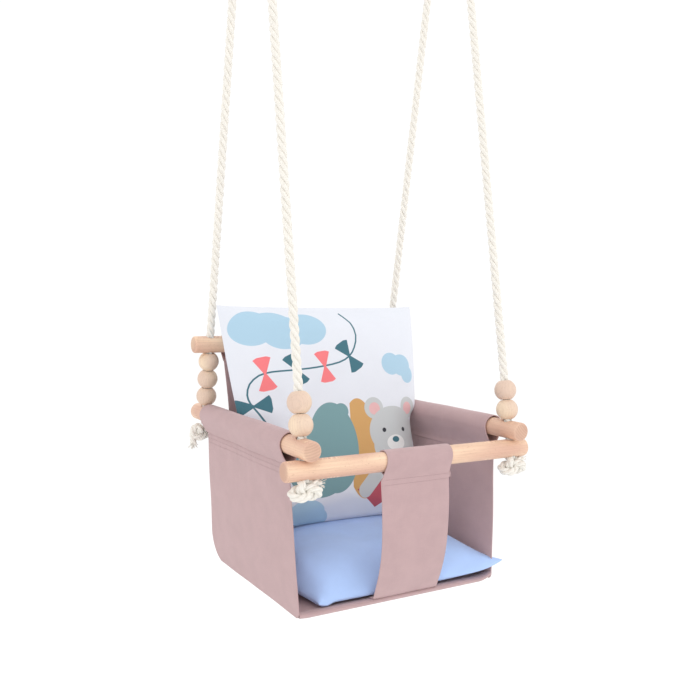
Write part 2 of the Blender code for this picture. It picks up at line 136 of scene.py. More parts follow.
class SwingSizes(bpy.types.PropertyGroup):
    lay_length: bpy.props.FloatProperty(
        name="Lay length", description="Length of one full turn of a rope strand",
        default=0.038, min=0.02, max=0.08, unit="LENGTH")
    strand_width: bpy.props.FloatProperty(
        name="Strand width", description="Width of one of the three rope strands",
        default=0.0058, min=0.004, max=0.0065, unit="LENGTH")
    stitch_pitch: bpy.props.FloatProperty(
        name="Stitch pitch", description="Distance from one stitch to the next",
        default=0.0032, min=0.002, max=0.006, unit="LENGTH")
    stitch_width: bpy.props.FloatProperty(
        name="Stitch width", description="Width of the sewing thread",
        default=0.0006, min=0.0003, max=0.001, unit="LENGTH")
    twine_width: bpy.props.FloatProperty(
        name="Twine width", description="Width of the twine round a rope's eye",
        default=0.0018, min=0.001, max=0.003, unit="LENGTH")
    cushion_fill: bpy.props.FloatProperty(
        name="Cushion fill", description="How tight the cushions are, from slack to full",
        default=0.5, min=0.0, max=1.0, subtype="FACTOR")


def colour_property(name, words, default):
    return bpy.props.FloatVectorProperty(
        name=name, description=words, subtype="COLOR", size=3, min=0.0, max=1.0, default=default)


class SwingColours(bpy.types.PropertyGroup):
    canvas: colour_property("Canvas", "Dusty pink cotton canvas", (0.505, 0.350, 0.355))
    cotton: colour_property("Rope", "Natural cotton rope", (0.86, 0.825, 0.76))
    twine: colour_property("Twine", "Waxed twine round the eyes", (0.74, 0.66, 0.52))
    beech: colour_property("Dowels", "Oiled beech", (0.70, 0.435, 0.325))
    bead: colour_property("Beads", "Bare pale beech", (0.735, 0.55, 0.44))
    seat: colour_property("Seat cushion", "Periwinkle cotton", (0.44, 0.60, 0.94))
    ground: colour_property("Print ground", "White cotton of the back cushion", (0.765, 0.785, 0.845))
    sky: colour_property("Clouds", "Print colour of the clouds", (0.41, 0.60, 0.74))
    teal: colour_property("Teal", "Print colour of the string and dark bows", (0.045, 0.155, 0.20))
    coral: colour_property("Coral", "Print colour of the light bows", (0.88, 0.20, 0.215))
    moss: colour_property("Hill", "Print colour of the large hill", (0.19, 0.34, 0.36))
    ochre: colour_property("Ochre", "Print colour of the field", (0.64, 0.36, 0.13))
    stone: colour_property("Grey", "Print colour of the small animal", (0.56, 0.58, 0.585))
    brick: colour_property("Red", "Print colour of the kite", (0.50, 0.085, 0.115))


# ---------------------------------------------------------------- node trees

class Value:
    """A node's output that sums can be written with: each sum adds a Math node."""

    def __init__(self, net, socket):
        self.net = net
        self.socket = socket

    def math(self, operation, *others):
        return self.net.add("ShaderNodeMath", {"operation": operation}, [self, *others])

    def __add__(self, other):
        return self.math("ADD", other)

    __radd__ = __add__

    def __sub__(self, other):
        return self.math("SUBTRACT", other)

    def __rsub__(self, other):
        return self.net.add("ShaderNodeMath", {"operation": "SUBTRACT"}, [other, self])

    def __mul__(self, other):
        return self.math("MULTIPLY", other)

    __rmul__ = __mul__

    def __truediv__(self, other):
        return self.math("DIVIDE", other)

    def __pow__(self, power):
        return self.math("POWER", power)

    def low(self, other):
        return self.math("MINIMUM", other)

    def high(self, other):
        return self.math("MAXIMUM", other)

    def step(self, start, end):
        """0 before start and 1 after end, smooth in between."""
        return self.net.add(
            "ShaderNodeMapRange", {"interpolation_type": "SMOOTHSTEP"},
            {"Value": self, "From Min": start, "From Max": end})

    def vector(self, operation, *others, output=0):
        return self.net.add("ShaderNodeVectorMath", {"operation": operation}, [self, *others], output)

    def parts(self):
        """The three numbers of a vector."""
        first = self.net.add("ShaderNodeSeparateXYZ", {}, [self])
        return [Value(self.net, socket) for socket in first.socket.node.outputs]


class Net:
    """One node tree, for a finish or for a Geometry Nodes shape."""

    def __init__(self, tree):
        self.tree = tree

    def feed(self, socket, value):
        if isinstance(value, Value):
            self.tree.links.new(value.socket, socket)
        elif value is not None:
            socket.default_value = value

    def add(self, kind, settings=None, inputs=None, output=0):
        """Add a node: its settings first, then the values or links of its sockets."""
        made = self.tree.nodes.new(kind)
        for name, setting in (settings or {}).items():
            if name == "stops":
                ramp = made.color_ramp
                while len(ramp.elements) < len(setting):
                    ramp.elements.new(1.0)
                for stop, (place, colour) in zip(ramp.elements, setting):
                    stop.position = place
                    stop.color = (*colour, 1.0)
            else:
                setattr(made, name, setting)
        pairs = inputs.items() if isinstance(inputs, dict) else enumerate(inputs or [])
        for name, value in pairs:
            self.feed(made.inputs[name], value)
        return Value(self, made.outputs[output])

    def xyz(self, x, y, z):
        return self.add("ShaderNodeCombineXYZ", {}, [x, y, z])

    def mix(self, share, first, second):
        """Blend two colours."""
        first, second = [c if isinstance(c, Value) else (*c, 1.0) for c in (first, second)]
        return self.add("ShaderNodeMix", {"data_type": "RGBA"}, {0: share, 6: first, 7: second}, 2)

    def noise(self, vector, scale, detail=2.0, roughness=0.5, distortion=0.0):
        return self.add("ShaderNodeTexNoise", {}, {
            "Vector": vector, "Scale": scale, "Detail": detail, "Roughness": roughness,
            "Distortion": distortion})

    def attribute(self, name):
        return self.add("ShaderNodeAttribute", {"attribute_name": name}, {}, "Vector")

    def bump(self, height, distance, strength=1.0, normal=None):
        return self.add("ShaderNodeBump", {}, {
            "Strength": strength, "Distance": distance, "Height": height, "Normal": normal}, "Normal")


def finish(name, fixed):
    """A new material: its net, and a function that feeds its shader's sockets."""
    made = bpy.data.materials.new(name)
    made.use_nodes = True
    net = Net(made.node_tree)
    shader = made.node_tree.nodes["Principled BSDF"]
    for socket, value in fixed.items():
        shader.inputs[socket].default_value = value

    def feed(**sockets):
        for socket, value in sockets.items():
            net.feed(shader.inputs[socket.replace("_", " ")], value)
        return made
    return net, feed


def shade(colour, amount):
    """A lighter or darker tone of a colour."""
    return tuple(min(1.0, max(0.0, part * amount)) for part in colour)


def colours():
    return bpy.context.scene.swing_colours


def sizes():
    return bpy.context.scene.swing_sizes


def kept(store, name):
    """Build a material or a node tree the first time it is asked for, and find it after that."""
    def wrap(build):
        def find():
            return getattr(bpy.data, store).get(name) or build(name)
        return find
    return wrap


# ---------------------------------------------------------------- finishes

@kept("materials", "cotton_rope")
def cotton_rope(name):
    """Strand cotton: fine yarns that run round each strand, and a few seed specks."""
    net, feed = finish(name, {"Sheen Weight": 0.25, "Sheen Roughness": 0.6})
    tint = colours().cotton
    around, along = net.attribute("around"), net.attribute("along").parts()[0]
    x, y, _ = around.parts()
    angle = y.math("ARCTAN2", x)
    yarn = (angle * 9.0 - along * 900.0).math("SINE") * 0.5 + 0.5
    place = net.xyz(x * 0.9, y * 0.9, along * 160.0)
    soft = net.noise(place, 2.2, 3.0)
    fuzz = net.noise(place, 9.0, 2.0)
    speck = net.noise(net.xyz(x * 2.0, y * 2.0, along * 420.0), 1.6, 1.0).step(0.735, 0.79)
    base = net.mix(soft.step(0.3, 0.7), shade(tint, 0.94), shade(tint, 1.05))
    base = net.mix(yarn * 0.14, base, shade(tint, 0.74))
    base = net.mix(speck * 0.35, base, (0.52, 0.40, 0.25))
    height = yarn * 0.5 + fuzz * 0.7
    return feed(Base_Color=base, Roughness=0.9 + soft * 0.08, Normal=net.bump(height, 0.0004, 0.8))


@kept("materials", "waxed_twine")
def twine(name):
    """Waxed twine, a little blotchy."""
    net, feed = finish(name, {"Coat Weight": 0.05, "Coat Roughness": 0.5})
    tint = colours().twine
    x, y, _ = net.attribute("around").parts()
    along = net.attribute("along").parts()[0]
    soft = net.noise(net.xyz(x, y, along * 900.0), 2.0, 2.0)
    base = net.mix(soft, shade(tint, 0.8), shade(tint, 1.1))
    return feed(Base_Color=base, Roughness=0.7 + soft * 0.2, Normal=net.bump(soft, 0.0002))


def wood(name, tint, pale, fleck):
    """Oiled beech: broad soft figure, fine lengthwise streaks, short dark flecks, darker ends."""
    net, feed = finish(name, {"Specular IOR Level": 0.35, "Coat Roughness": 0.4})
    place = net.attribute("grain")
    x, y, z = place.parts()
    end = net.attribute("end_grain").parts()[0]
    wander = net.noise(net.xyz(x * 25.0, y * 25.0, z * 6.0), 1.0, 2.0)
    rings = ((x + 0.031) * (x + 0.031) + (y - 0.012) * (y - 0.012)) ** 0.5
    figure = ((rings + wander * 0.0035) * 1900.0).math("SINE") * 0.5 + 0.5
    streak = net.noise(net.xyz(x * 900.0, y * 900.0, z * 22.0), 1.0, 2.0, 0.6)
    fine = net.noise(net.xyz(x * 2600.0, y * 2600.0, z * 90.0), 1.0, 1.0)
    flecks = net.noise(net.xyz(x * 1500.0, y * 1500.0, z * 330.0), 1.0, 0.0).step(0.70, 0.78)
    blush = net.noise(net.xyz(x * 30.0, y * 30.0, z * 9.0), 1.0, 1.0).step(0.35, 0.7)
    base = net.mix(blush, tint, pale)
    base = net.mix(figure * 0.16, base, shade(tint, 0.80))
    base = net.mix(streak.step(0.45, 0.75) * 0.26, base, shade(tint, 0.72))
    base = net.mix(flecks * fleck, base, (0.36, 0.17, 0.08))
    base = net.mix(end * (0.30 + figure * 0.25), base, shade(tint, 0.68))
    height = figure * 0.15 + streak * 0.5 + fine * 0.6 - flecks * 0.8
    return feed(Base_Color=base, Roughness=0.46 + streak * 0.16 + end * 0.15,
                Coat_Weight=0.08 - end * 0.06, Normal=net.bump(height, 0.00012, 0.9))


@kept("materials", "oiled_beech")
def beech(name):
    return wood(name, colours().beech, (0.93, 0.68, 0.48), 0.30)


@kept("materials", "bare_beech")
def bead_beech(name):
    return wood(name, colours().bead, (0.86, 0.68, 0.50), 0.22)


def weave(net, place, pitch):
    """Height of a plain weave from cloth coordinates in metres, 0 to 1."""
    x, y, _ = place.parts()
    wobble = net.noise(place, 240.0, 1.0) * 0.5
    turn = math.tau / pitch
    warp = (x * turn + wobble).math("SINE")
    weft = (y * turn + wobble).math("SINE")
    return warp * weft * 0.5 + 0.5


@kept("materials", "dusty_pink_canvas")
def canvas(name):
    """Cotton canvas: thread slubs both ways, faint mottling and a soft sheen."""
    net, feed = finish(name, {
        "Sheen Weight": 0.22, "Sheen Roughness": 0.5, "Sheen Tint": (1.0, 0.93, 0.92, 1.0),
        "Specular IOR Level": 0.25})
    tint = colours().canvas
    place = net.attribute("cloth")
    x, y, layer = place.parts()
    threads = weave(net, place, CANVAS_WEAVE_PITCH)
    along = net.noise(net.xyz(x * 1500.0, y * 60.0, layer), 1.0, 2.0)
    across = net.noise(net.xyz(x * 60.0, y * 1500.0, layer + 7.0), 1.0, 2.0)
    slub = along * 0.5 + across * 0.5
    mottle = net.noise(place, 34.0, 3.0, 0.6)
    base = net.mix(mottle.step(0.25, 0.75), shade(tint, 0.955), shade(tint, 1.04))
    base = net.mix(slub.step(0.42, 0.68) * 0.22, base, shade(tint, 1.22))
    # painted shade: the hollows of the weave, where the bump is low, are darkened
    base = net.mix((1.0 - threads) * 0.12, base, shade(tint, 0.72))
    height = threads * 0.6 + slub * 0.9
    return feed(Base_Color=base, Roughness=0.86 + mottle * 0.1, Normal=net.bump(height, 0.00022, 0.8))


@kept("materials", "pink_thread")
def thread(name):
    """Sewing thread, a tone darker than the canvas."""
    net, feed = finish(name, {"Sheen Weight": 0.2})
    tint = colours().canvas
    grain = net.noise(net.add("ShaderNodeTexCoord", {}, {}, "Object"), 900.0, 2.0)
    base = net.mix(grain, shade(tint, 0.66), shade(tint, 0.92))
    return feed(Base_Color=base, Roughness=0.75 + grain * 0.1, Normal=net.bump(grain, 0.0001))


def fine_cotton(net, place):
    """Bump and tone of thin closely woven cotton."""
    threads = weave(net, place, FINE_WEAVE_PITCH)
    cloudy = net.noise(place, 24.0, 3.0, 0.55)
    return threads, cloudy


@kept("materials", "periwinkle_cotton")
def seat_cotton(name):
    """Plain dyed cotton with soft crush marks."""
    net, feed = finish(name, {
        "Sheen Weight": 0.25, "Sheen Roughness": 0.45, "Specular IOR Level": 0.3})
    tint = colours().seat
    place = net.add("ShaderNodeTexCoord", {}, {}, "Object")
    threads, cloudy = fine_cotton(net, place)
    crush = net.noise(place, 16.0, 3.0, 0.5, 0.6)
    base = net.mix(cloudy.step(0.3, 0.7), shade(tint, 0.97), shade(tint, 1.04))
    # painted shade: the hollows of the weave, where the bump is low, are darkened
    base = net.mix((1.0 - threads) * 0.08, base, shade(tint, 0.8))
    soft = net.bump(crush, 0.004, 0.35)
    return feed(Base_Color=base, Roughness=0.8 + cloudy * 0.1, Normal=net.bump(threads, 0.0001, 0.6, soft))


class Drawing:
    """Flat shapes for a printed pattern, as distances from their outlines, in millimetres."""

    def __init__(self, net, place):
        self.net = net
        self.place = place
        self.x, self.y, _ = place.parts()

    def disc(self, x, y, radius):
        return self.place.vector("DISTANCE", (x, y, 0.0), output=1) - radius

    def oval(self, x, y, wide, high):
        grown = self.place.vector("SUBTRACT", (x, y, 0.0)).vector("DIVIDE", (wide, high, 1.0))
        return (grown.vector("LENGTH", output=1) - 1.0) * min(wide, high)

    def either(self, shapes):
        joined = shapes[0]
        for shape in shapes[1:]:
            joined = joined.low(shape)
        return joined

    def polygon(self, corners):
        """A convex polygon from its corners, counter-clockwise."""
        inside = None
        for (x0, y0), (x1, y1) in zip(corners, corners[1:] + corners[:1]):
            run = math.hypot(x1 - x0, y1 - y0)
            across = ((y1 - y0) / run, -(x1 - x0) / run)
            side = self.place.vector("DOT_PRODUCT", (*across, 0.0), output=1) - (
                across[0] * x0 + across[1] * y0)
            inside = side if inside is None else inside.high(side)
        return inside

    def line(self, start, end, half):
        """A straight stroke with round ends."""
        run = (end[0] - start[0], end[1] - start[1])
        long = run[0] ** 2 + run[1] ** 2
        offset = self.place.vector("SUBTRACT", (*start, 0.0))
        share = offset.vector("DOT_PRODUCT", (run[0] / long, run[1] / long, 0.0), output=1)
        share = share.high(0.0).low(1.0)
        near = self.net.xyz(share * run[0], share * run[1], 0.0)
        return offset.vector("DISTANCE", near, output=1) - half

    def bow(self, x, y, size, turn_deg):
        """Two rounded triangles that meet at a point."""
        turn = math.radians(turn_deg)
        shapes = []
        for side in (0.0, math.pi):
            corners = []
            for far, wide in ((-0.06, 0.0), (1.0, -0.56), (1.0, 0.56)):
                angle = turn + side
                px = x + size * (far * math.cos(angle) - wide * math.sin(angle))
                py = y + size * (far * math.sin(angle) + wide * math.cos(angle))
                corners.append((px, py))
            shapes.append((self.polygon(corners) - 0.8).high(self.disc(x, y, size * 1.07)))
        return self.either(shapes)

    def ink(self, shape):
        """1 inside a shape, with a crisp edge."""
        return 1.0 - shape.step(-0.25, 0.25)


CUSHION_FOOT = Vector((0.0, FRONT_HOLE_Y + 0.172, BASE_Z + 0.003 + 0.061 + 2 * GAP))
CUSHION_LEAN = math.radians(16.2)
CUSHION_TURN = math.radians(2.5)
CUSHION_HEIGHT = 0.328


def cushion_matrix():
    """From the back cushion's own sheet, x across and y up, to the frame."""
    turn = Matrix.Rotation(-CUSHION_TURN, 4, "Z")
    return Matrix.Translation(CUSHION_FOOT) @ turn @ Matrix.Rotation(math.pi / 2 - CUSHION_LEAN, 4, "X")


@kept("materials", "printed_cotton")
def print_cotton(name):
    """White cotton printed with clouds, a kite's tail, hills and a plain small bear."""
    tint = colours()
    net, feed = finish(name, {
        "Sheen Weight": 0.15, "Sheen Roughness": 0.5, "Specular IOR Level": 0.3})
    place = net.attribute("cloth")
    flat = place.vector("MULTIPLY", (1000.0, 1000.0, 0.0))
    draw = Drawing(net, flat)
    threads, cloudy = fine_cotton(net, place)
    base = net.mix(cloudy.step(0.3, 0.7), shade(tint.ground, 0.985), tint.ground)
    for colour, shape in print_shapes(draw, tint):
        base = net.mix(draw.ink(shape), base, colour)
    # painted shade: the hollows of the weave, where the bump is low, are darkened towards grey
    base = net.mix((1.0 - threads) * 0.06, base, (0.35, 0.36, 0.40))
    crush = net.noise(place, 13.0, 3.0, 0.5, 0.5)
    soft = net.bump(crush, 0.004, 0.3)
    return feed(Base_Color=base, Roughness=0.8 + cloudy * 0.1, Normal=net.bump(threads, 0.0001, 0.6, soft))


def print_shapes(draw, tint):
    """(colour, shape) pairs in printing order, in millimetres from the foot of the cushion."""
    sky = draw.either([
        draw.oval(-124, 290, 33, 27), draw.oval(-94, 291, 36, 24), draw.oval(-76, 282, 36, 26),
        draw.oval(-40, 287, 33, 25)])
    small = draw.either([
        draw.disc(98, 230, 17.5), draw.oval(118, 228, 20, 17), draw.disc(130, 214, 13.5)])
    lower = draw.either([
        draw.oval(-98, 12, 26, 20), draw.oval(-66, 18, 28, 19), draw.oval(-48, 10, 16, 13)])
    route = smooth_2d([
        (24, 313), (37, 297), (42, 276), (36, 257), (25, 243), (7, 234), (-19, 229), (-44, 226),
        (-76, 224), (-102, 223), (-121, 219), (-134, 208), (-138, 193), (-135, 181), (-129, 171),
        (-116, 152)], 2)
    string = draw.either([draw.line(a, b, 1.25) for a, b in zip(route, route[1:])])
    dark = draw.either([
        draw.bow(25, 243, 24, 121), draw.bow(-65, 225, 23, 112), draw.bow(-130, 176, 24, 3)])
    light = draw.either([draw.bow(-18, 228, 23, 98), draw.bow(-112, 221, 24, 98)])
    hill = draw.either([
        draw.oval(-18, 108, 40, 66), draw.oval(-44, 84, 50, 46), draw.disc(0, 160, 12)])
    field = draw.oval(28, 104, 30, 74).high(draw.polygon([(4, -20), (74, -20), (52, 220), (18, 220)]))
    ears = draw.either([draw.disc(56, 162, 16.5), draw.disc(124, 162, 16.5)])
    inner = draw.either([draw.disc(57, 161, 9.5), draw.disc(123, 161, 9.5)])
    head = draw.either([draw.oval(89, 126, 45, 38), draw.oval(89, 104, 40, 32)])
    arms = draw.either([draw.line((70, 84), (28, 42), 11), draw.line((112, 84), (96, 44), 12)])
    eyes = draw.either([draw.disc(70, 128, 3.4), draw.disc(109, 128, 3.4)])
    muzzle = draw.oval(90, 108, 17, 12)
    nose = draw.oval(90, 113, 6.5, 4.5)
    kite = draw.polygon([(14, 44), (46, 16), (92, 40), (62, 66)])
    return [
        (tint.sky, sky), (tint.sky, small), (tint.teal, string), (tint.teal, dark),
        (tint.coral, light), (tint.ochre, field), (tint.moss, hill), (tint.sky, lower),
        (tint.brick, kite), (tint.stone, arms), (tint.stone, ears), ((0.78, 0.46, 0.46), inner),
        (tint.stone, head), ((0.80, 0.80, 0.79), muzzle), ((0.03, 0.03, 0.04), eyes), (tint.teal, nose)]


@kept("materials", "plated_steel")
def steel(name):
    """Plated steel with a fine brushed grain."""
    net, feed = finish(name, {"Metallic": 1.0, "Coat Weight": 0.0})
    place = net.add("ShaderNodeTexCoord", {}, {}, "Object")
    brush = net.noise(place, 900.0, 2.0)
    cloud = net.noise(place, 120.0, 3.0)
    base = net.mix(cloud, (0.50, 0.51, 0.52), (0.66, 0.67, 0.68))
    return feed(Base_Color=base, Roughness=0.2 + cloud * 0.18, Normal=net.bump(brush, 0.00005, 0.5))


# ---------------------------------------------------------------- mesh helpers

def placed(name, data):
    """A new object in the scene."""
    item = bpy.data.objects.new(name, data)
    bpy.context.scene.collection.objects.link(item)
    return item


def dress(mesh, material):
    """Give a mesh one material."""
    mesh.materials.clear()
    mesh.materials.append(material)


def evaluated(item):
    """An object's mesh as its modifiers leave it."""
    graph = bpy.context.evaluated_depsgraph_get()
    return bpy.data.meshes.new_from_object(item.evaluated_get(graph))


def aligned(place, up):
    """Carries a shape's Z to a direction and its middle to a place."""
    return Matrix.Translation(place) @ up.to_track_quat("Z", "Y").to_matrix().to_4x4()


def move_points(mesh, points):
    mesh.vertices.foreach_set("co", np.asarray(points).ravel())
    mesh.update()


def add_object(name, mesh, material, smooth=True):
    item = placed(name, mesh)
    if material:
        dress(mesh, material)
    if smooth:
        mesh.shade_smooth()
        mesh.set_sharp_from_angle(angle=math.radians(42))
    return item


def settle(item, body, slot, *nodes):
    """Let a finished piece ride on its body and stand for its frame parts."""
    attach(item, body)
    if nodes:
        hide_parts(*nodes)
    return item


def mesh_of(name, points, faces):
    mesh = bpy.data.meshes.new(name)
    mesh.from_pydata([tuple(p) for p in points], [], [tuple(int(i) for i in f) for f in faces])
    mesh.update()
    return mesh


def outward(mesh):
    """Turn every face outwards."""
    shape = bmesh.new()
    shape.from_mesh(mesh)
    bmesh.ops.recalc_face_normals(shape, faces=shape.faces)
    if shape.calc_volume(signed=True) < 0:
        bmesh.ops.reverse_faces(shape, faces=shape.faces)
    shape.to_mesh(mesh)
    shape.free()
    return mesh


def set_vectors(mesh, name, values):
    layer = mesh.attributes.new(name, "FLOAT_VECTOR", "POINT")
    layer.data.foreach_set("vector", np.asarray(values, dtype=np.float32).ravel())


def set_numbers(mesh, name, values):
    layer = mesh.attributes.new(name, "FLOAT", "POINT")
    layer.data.foreach_set("value", np.asarray(values, dtype=np.float32).ravel())


def points_of(mesh):
    """A mesh's points as rows of x, y and z."""
    flat = np.empty(len(mesh.vertices) * 3)
    mesh.vertices.foreach_get("co", flat)
    return flat.reshape(-1, 3)


def turned(profile, sides, closed=False):
    """A solid turned about Z from (radius, z) points; an open profile runs from pole to pole."""
    shape = bmesh.new()
    points = [shape.verts.new((radius, 0, z)) for radius, z in profile]
    pairs = list(zip(points, points[1:] + points[:1])) if closed else list(zip(points, points[1:]))
    edges = [shape.edges.new(pair) for pair in pairs]
    bmesh.ops.spin(
        shape, geom=points + edges, cent=(0, 0, 0), axis=(0, 0, 1), angle=math.tau, steps=sides,
        use_duplicate=False)
    bmesh.ops.remove_doubles(shape, verts=shape.verts, dist=1e-7)
    bmesh.ops.recalc_face_normals(shape, faces=shape.faces)
    mesh = bpy.data.meshes.new("turned")
    shape.to_mesh(mesh)
    shape.free()
    return outward(mesh)


def arc(x, y, radius, start_deg, end_deg, steps):
    """Points along an arc in a plane."""
    angles = np.radians(np.linspace(start_deg, end_deg, steps + 1))
    return [(x + radius * math.cos(a), y + radius * math.sin(a)) for a in angles]


def smooth_line(points, steps):
    """Catmull-Rom curve through the points."""
    points = [Vector(point) for point in points]
    padded = [2 * points[0] - points[1]] + points + [2 * points[-1] - points[-2]]
    line = []
    for before, start, end, after in zip(padded, padded[1:], padded[2:], padded[3:]):
        for step in range(steps):
            t = step / steps
            line.append(0.5 * (
                2 * start + (end - before) * t
                + (2 * before - 5 * start + 4 * end - after) * t ** 2
                + (3 * start - before - 3 * end + after) * t ** 3))
    return line + [points[-1]]


def path_curve(points):
    """A curve object through the points, for a tree to work on."""
    curve = bpy.data.curves.new("path", "CURVE")
    curve.dimensions = "3D"
    spline = curve.splines.new("POLY")
    spline.points.add(len(points) - 1)
    for place, point in zip(spline.points, points):
        place.co = (*point, 1.0)
    return placed("path", curve)


def joined(name, items, material):
    """Several mesh objects made one."""
    shape = bmesh.new()
    for item in items:
        shape.from_mesh(item.data)
        bpy.data.objects.remove(item, do_unlink=True)
    mesh = bpy.data.meshes.new(name)
    shape.to_mesh(mesh)
    shape.free()
    return add_object(name, mesh, material, smooth=False)


# ---------------------------------------------------------------- Geometry Nodes shapes

def shape_tree(name, inputs):
    """A new Geometry Nodes tree with named inputs: its net, and a value for each input."""
    tree = bpy.data.node_groups.new(name, "GeometryNodeTree")
    kinds = {"Path": "NodeSocketGeometry", "Finish": "NodeSocketMaterial", "Count": "NodeSocketInt"}
    for label in inputs:
        tree.interface.new_socket(
            name=label, in_out="INPUT", socket_type=kinds.get(label, "NodeSocketFloat"))
    tree.interface.new_socket(name="Shape", in_out="OUTPUT", socket_type="NodeSocketGeometry")
    net = Net(tree)
    start = tree.nodes.new("NodeGroupInput")
    return net, {label: Value(net, start.outputs[label]) for label in inputs}


def close_tree(net, shape, material):
    """End a tree: realized instances, a material, and smooth faces."""
    shape = net.add("GeometryNodeRealizeInstances", {}, [shape])
    shape = net.add("GeometryNodeSetShadeSmooth", {}, {"Geometry": shape})
    shape = net.add("GeometryNodeSetMaterial", {}, {"Geometry": shape, "Material": material})
    end = net.tree.nodes.new("NodeGroupOutput")
    net.feed(end.inputs["Shape"], shape)
    return net.tree


def grown(name, source, tree, values):
    """Run a tree on an object, and keep its result as a plain mesh in the object's place."""
    change = source.modifiers.new("shape", "NODES")
    change.node_group = tree
    for item in tree.interface.items_tree:
        if item.in_out == "INPUT" and item.name in values:
            change[item.identifier] = values[item.name]
    mesh = evaluated(source)
    source.modifiers.remove(change)
    bpy.data.objects.remove(source, do_unlink=True)
    return add_object(name, mesh, None, smooth=False)


@kept("node_groups", "Laid rope")
def laid_rope_tree(name):
    """Three strands laid round a path, each with coordinates for its yarns."""
    net, given = shape_tree(
        name, ["Path", "Rope width", "Strand width", "Lay length", "Step", "Finish"])
    path = net.add("GeometryNodeResampleCurve", {"mode": "LENGTH"}, {
        "Curve": given["Path"], "Length": given["Step"]})
    length = net.add("GeometryNodeSplineParameter", {}, {}, "Length")
    path = net.add("GeometryNodeStoreNamedAttribute", {"data_type": "FLOAT", "domain": "POINT"}, {
        "Geometry": path, "Name": "along", "Value": length})
    normal = net.add("GeometryNodeInputNormal")
    tangent = net.add("GeometryNodeInputTangent")
    across = tangent.vector("CROSS_PRODUCT", normal)
    ring = net.add("GeometryNodeCurvePrimitiveCircle", {"mode": "RADIUS"}, {
        "Resolution": 10, "Radius": given["Strand width"] * 0.5})
    place = net.add("GeometryNodeInputPosition").vector("NORMALIZE")
    ring = net.add("GeometryNodeStoreNamedAttribute", {"data_type": "FLOAT_VECTOR", "domain": "POINT"}, {
        "Geometry": ring, "Name": "around", "Value": place})
    out = (given["Rope width"] - given["Strand width"]) * 0.5
    join = net.add("GeometryNodeJoinGeometry")
    for strand in range(3):
        angle = length / given["Lay length"] * -math.tau + strand * math.tau / 3
        sideways = normal.vector("SCALE"), across.vector("SCALE")
        net.feed(sideways[0].socket.node.inputs["Scale"], angle.math("COSINE") * out)
        net.feed(sideways[1].socket.node.inputs["Scale"], angle.math("SINE") * out)
        moved = net.add("GeometryNodeSetPosition", {}, {
            "Geometry": path, "Offset": sideways[0].vector("ADD", sideways[1])})
        tube = net.add("GeometryNodeCurveToMesh", {}, {
            "Curve": moved, "Profile Curve": ring, "Fill Caps": True})
        net.feed(join.socket.node.inputs[0], tube)
    return close_tree(net, join, given["Finish"])


def laid_rope(name, points, width, strand, lay, step, material):
    return grown(name, path_curve(points), laid_rope_tree(), {
        "Rope width": width, "Strand width": strand, "Lay length": lay, "Step": step,
        "Finish": material})


@kept("node_groups", "Stitch row")
def stitch_tree(name):
    """Short plump stitches in a row along a path."""
    net, given = shape_tree(name, ["Path", "Pitch", "Width", "Finish"])
    row = net.add("GeometryNodeCurveToPoints", {"mode": "LENGTH"}, {
        "Curve": given["Path"], "Length": given["Pitch"]}, "Points")
    turn = net.add("GeometryNodeInputNamedAttribute", {"data_type": "FLOAT_VECTOR"}, {"Name": "run"})
    row_turn = net.add("FunctionNodeAlignRotationToVector", {"axis": "X"}, {"Vector": turn})
    bead = net.add("GeometryNodeMeshUVSphere", {}, {"Segments": 6, "Rings": 4, "Radius": 0.5})
    size = net.xyz(given["Pitch"] * 0.82, given["Width"], given["Width"] * 0.7)
    rows = net.add("GeometryNodeInstanceOnPoints", {}, {
        "Points": row, "Instance": bead, "Rotation": row_turn, "Scale": size})
    source = row.socket.node
    marked = net.add("GeometryNodeStoreNamedAttribute", {"data_type": "FLOAT_VECTOR", "domain": "POINT"}, {
        "Geometry": given["Path"], "Name": "run", "Value": net.add("GeometryNodeInputTangent")})
    net.feed(source.inputs["Curve"], marked)
    return close_tree(net, rows, given["Finish"])


def stitch_row(points):
    return grown("row", path_curve(points), stitch_tree(), {
        "Pitch": sizes().stitch_pitch, "Width": sizes().stitch_width, "Finish": thread()})


@kept("node_groups", "Frayed end")
def tuft_tree(name):
    """Loose yarns that fan out from one point along -Z."""
    net, given = shape_tree(name, ["Path", "Count", "Length", "Spread", "Finish"])
    bend = net.add("GeometryNodeCurveQuadraticBezier", {}, {
        "Resolution": 6, "Start": (0, 0, 0), "Middle": (0.05, 0, -0.55), "End": (0.28, 0, -1.0)})
    thin = net.add("GeometryNodeSplineParameter", {}, {}, "Factor")
    bend = net.add("GeometryNodeSetCurveRadius", {}, {"Curve": bend, "Radius": 1.0 - thin * 0.5})
    ring = net.add("GeometryNodeCurvePrimitiveCircle", {"mode": "RADIUS"}, {"Resolution": 5, "Radius": 0.055})
    yarn = net.add("GeometryNodeCurveToMesh", {}, {"Curve": bend, "Profile Curve": ring, "Fill Caps": True})
    points = net.add("GeometryNodePoints", {}, {
        "Count": given["Count"],
        "Position": net.add("FunctionNodeRandomValue", {"data_type": "FLOAT_VECTOR"}, {
            "Min": (-0.0032, -0.0032, -0.001), "Max": (0.0032, 0.0032, 0.001), "Seed": 11})})
    tilt = net.add("FunctionNodeRandomValue", {"data_type": "FLOAT_VECTOR"}, {
        "Min": (-1.0, -1.0, -3.14), "Max": (1.0, 1.0, 3.14), "Seed": 5})
    x, y, z = tilt.parts()
    tilt = net.xyz(x * given["Spread"], y * given["Spread"], z)
    size = net.add("FunctionNodeRandomValue", {"data_type": "FLOAT"}, {
        "Min": 0.6, "Max": 1.15, "Seed": 3}, 1) * given["Length"]
    fan = net.add("GeometryNodeInstanceOnPoints", {}, {
        "Points": points, "Instance": yarn, "Rotation": tilt, "Scale": size})
    return close_tree(net, fan, given["Finish"])


# ---------------------------------------------------------------- ropes and knots

def leg_point(up, hole_y, distance):
    return Vector((0, hole_y + up.y * distance, DOWEL_Z + up.z * distance))


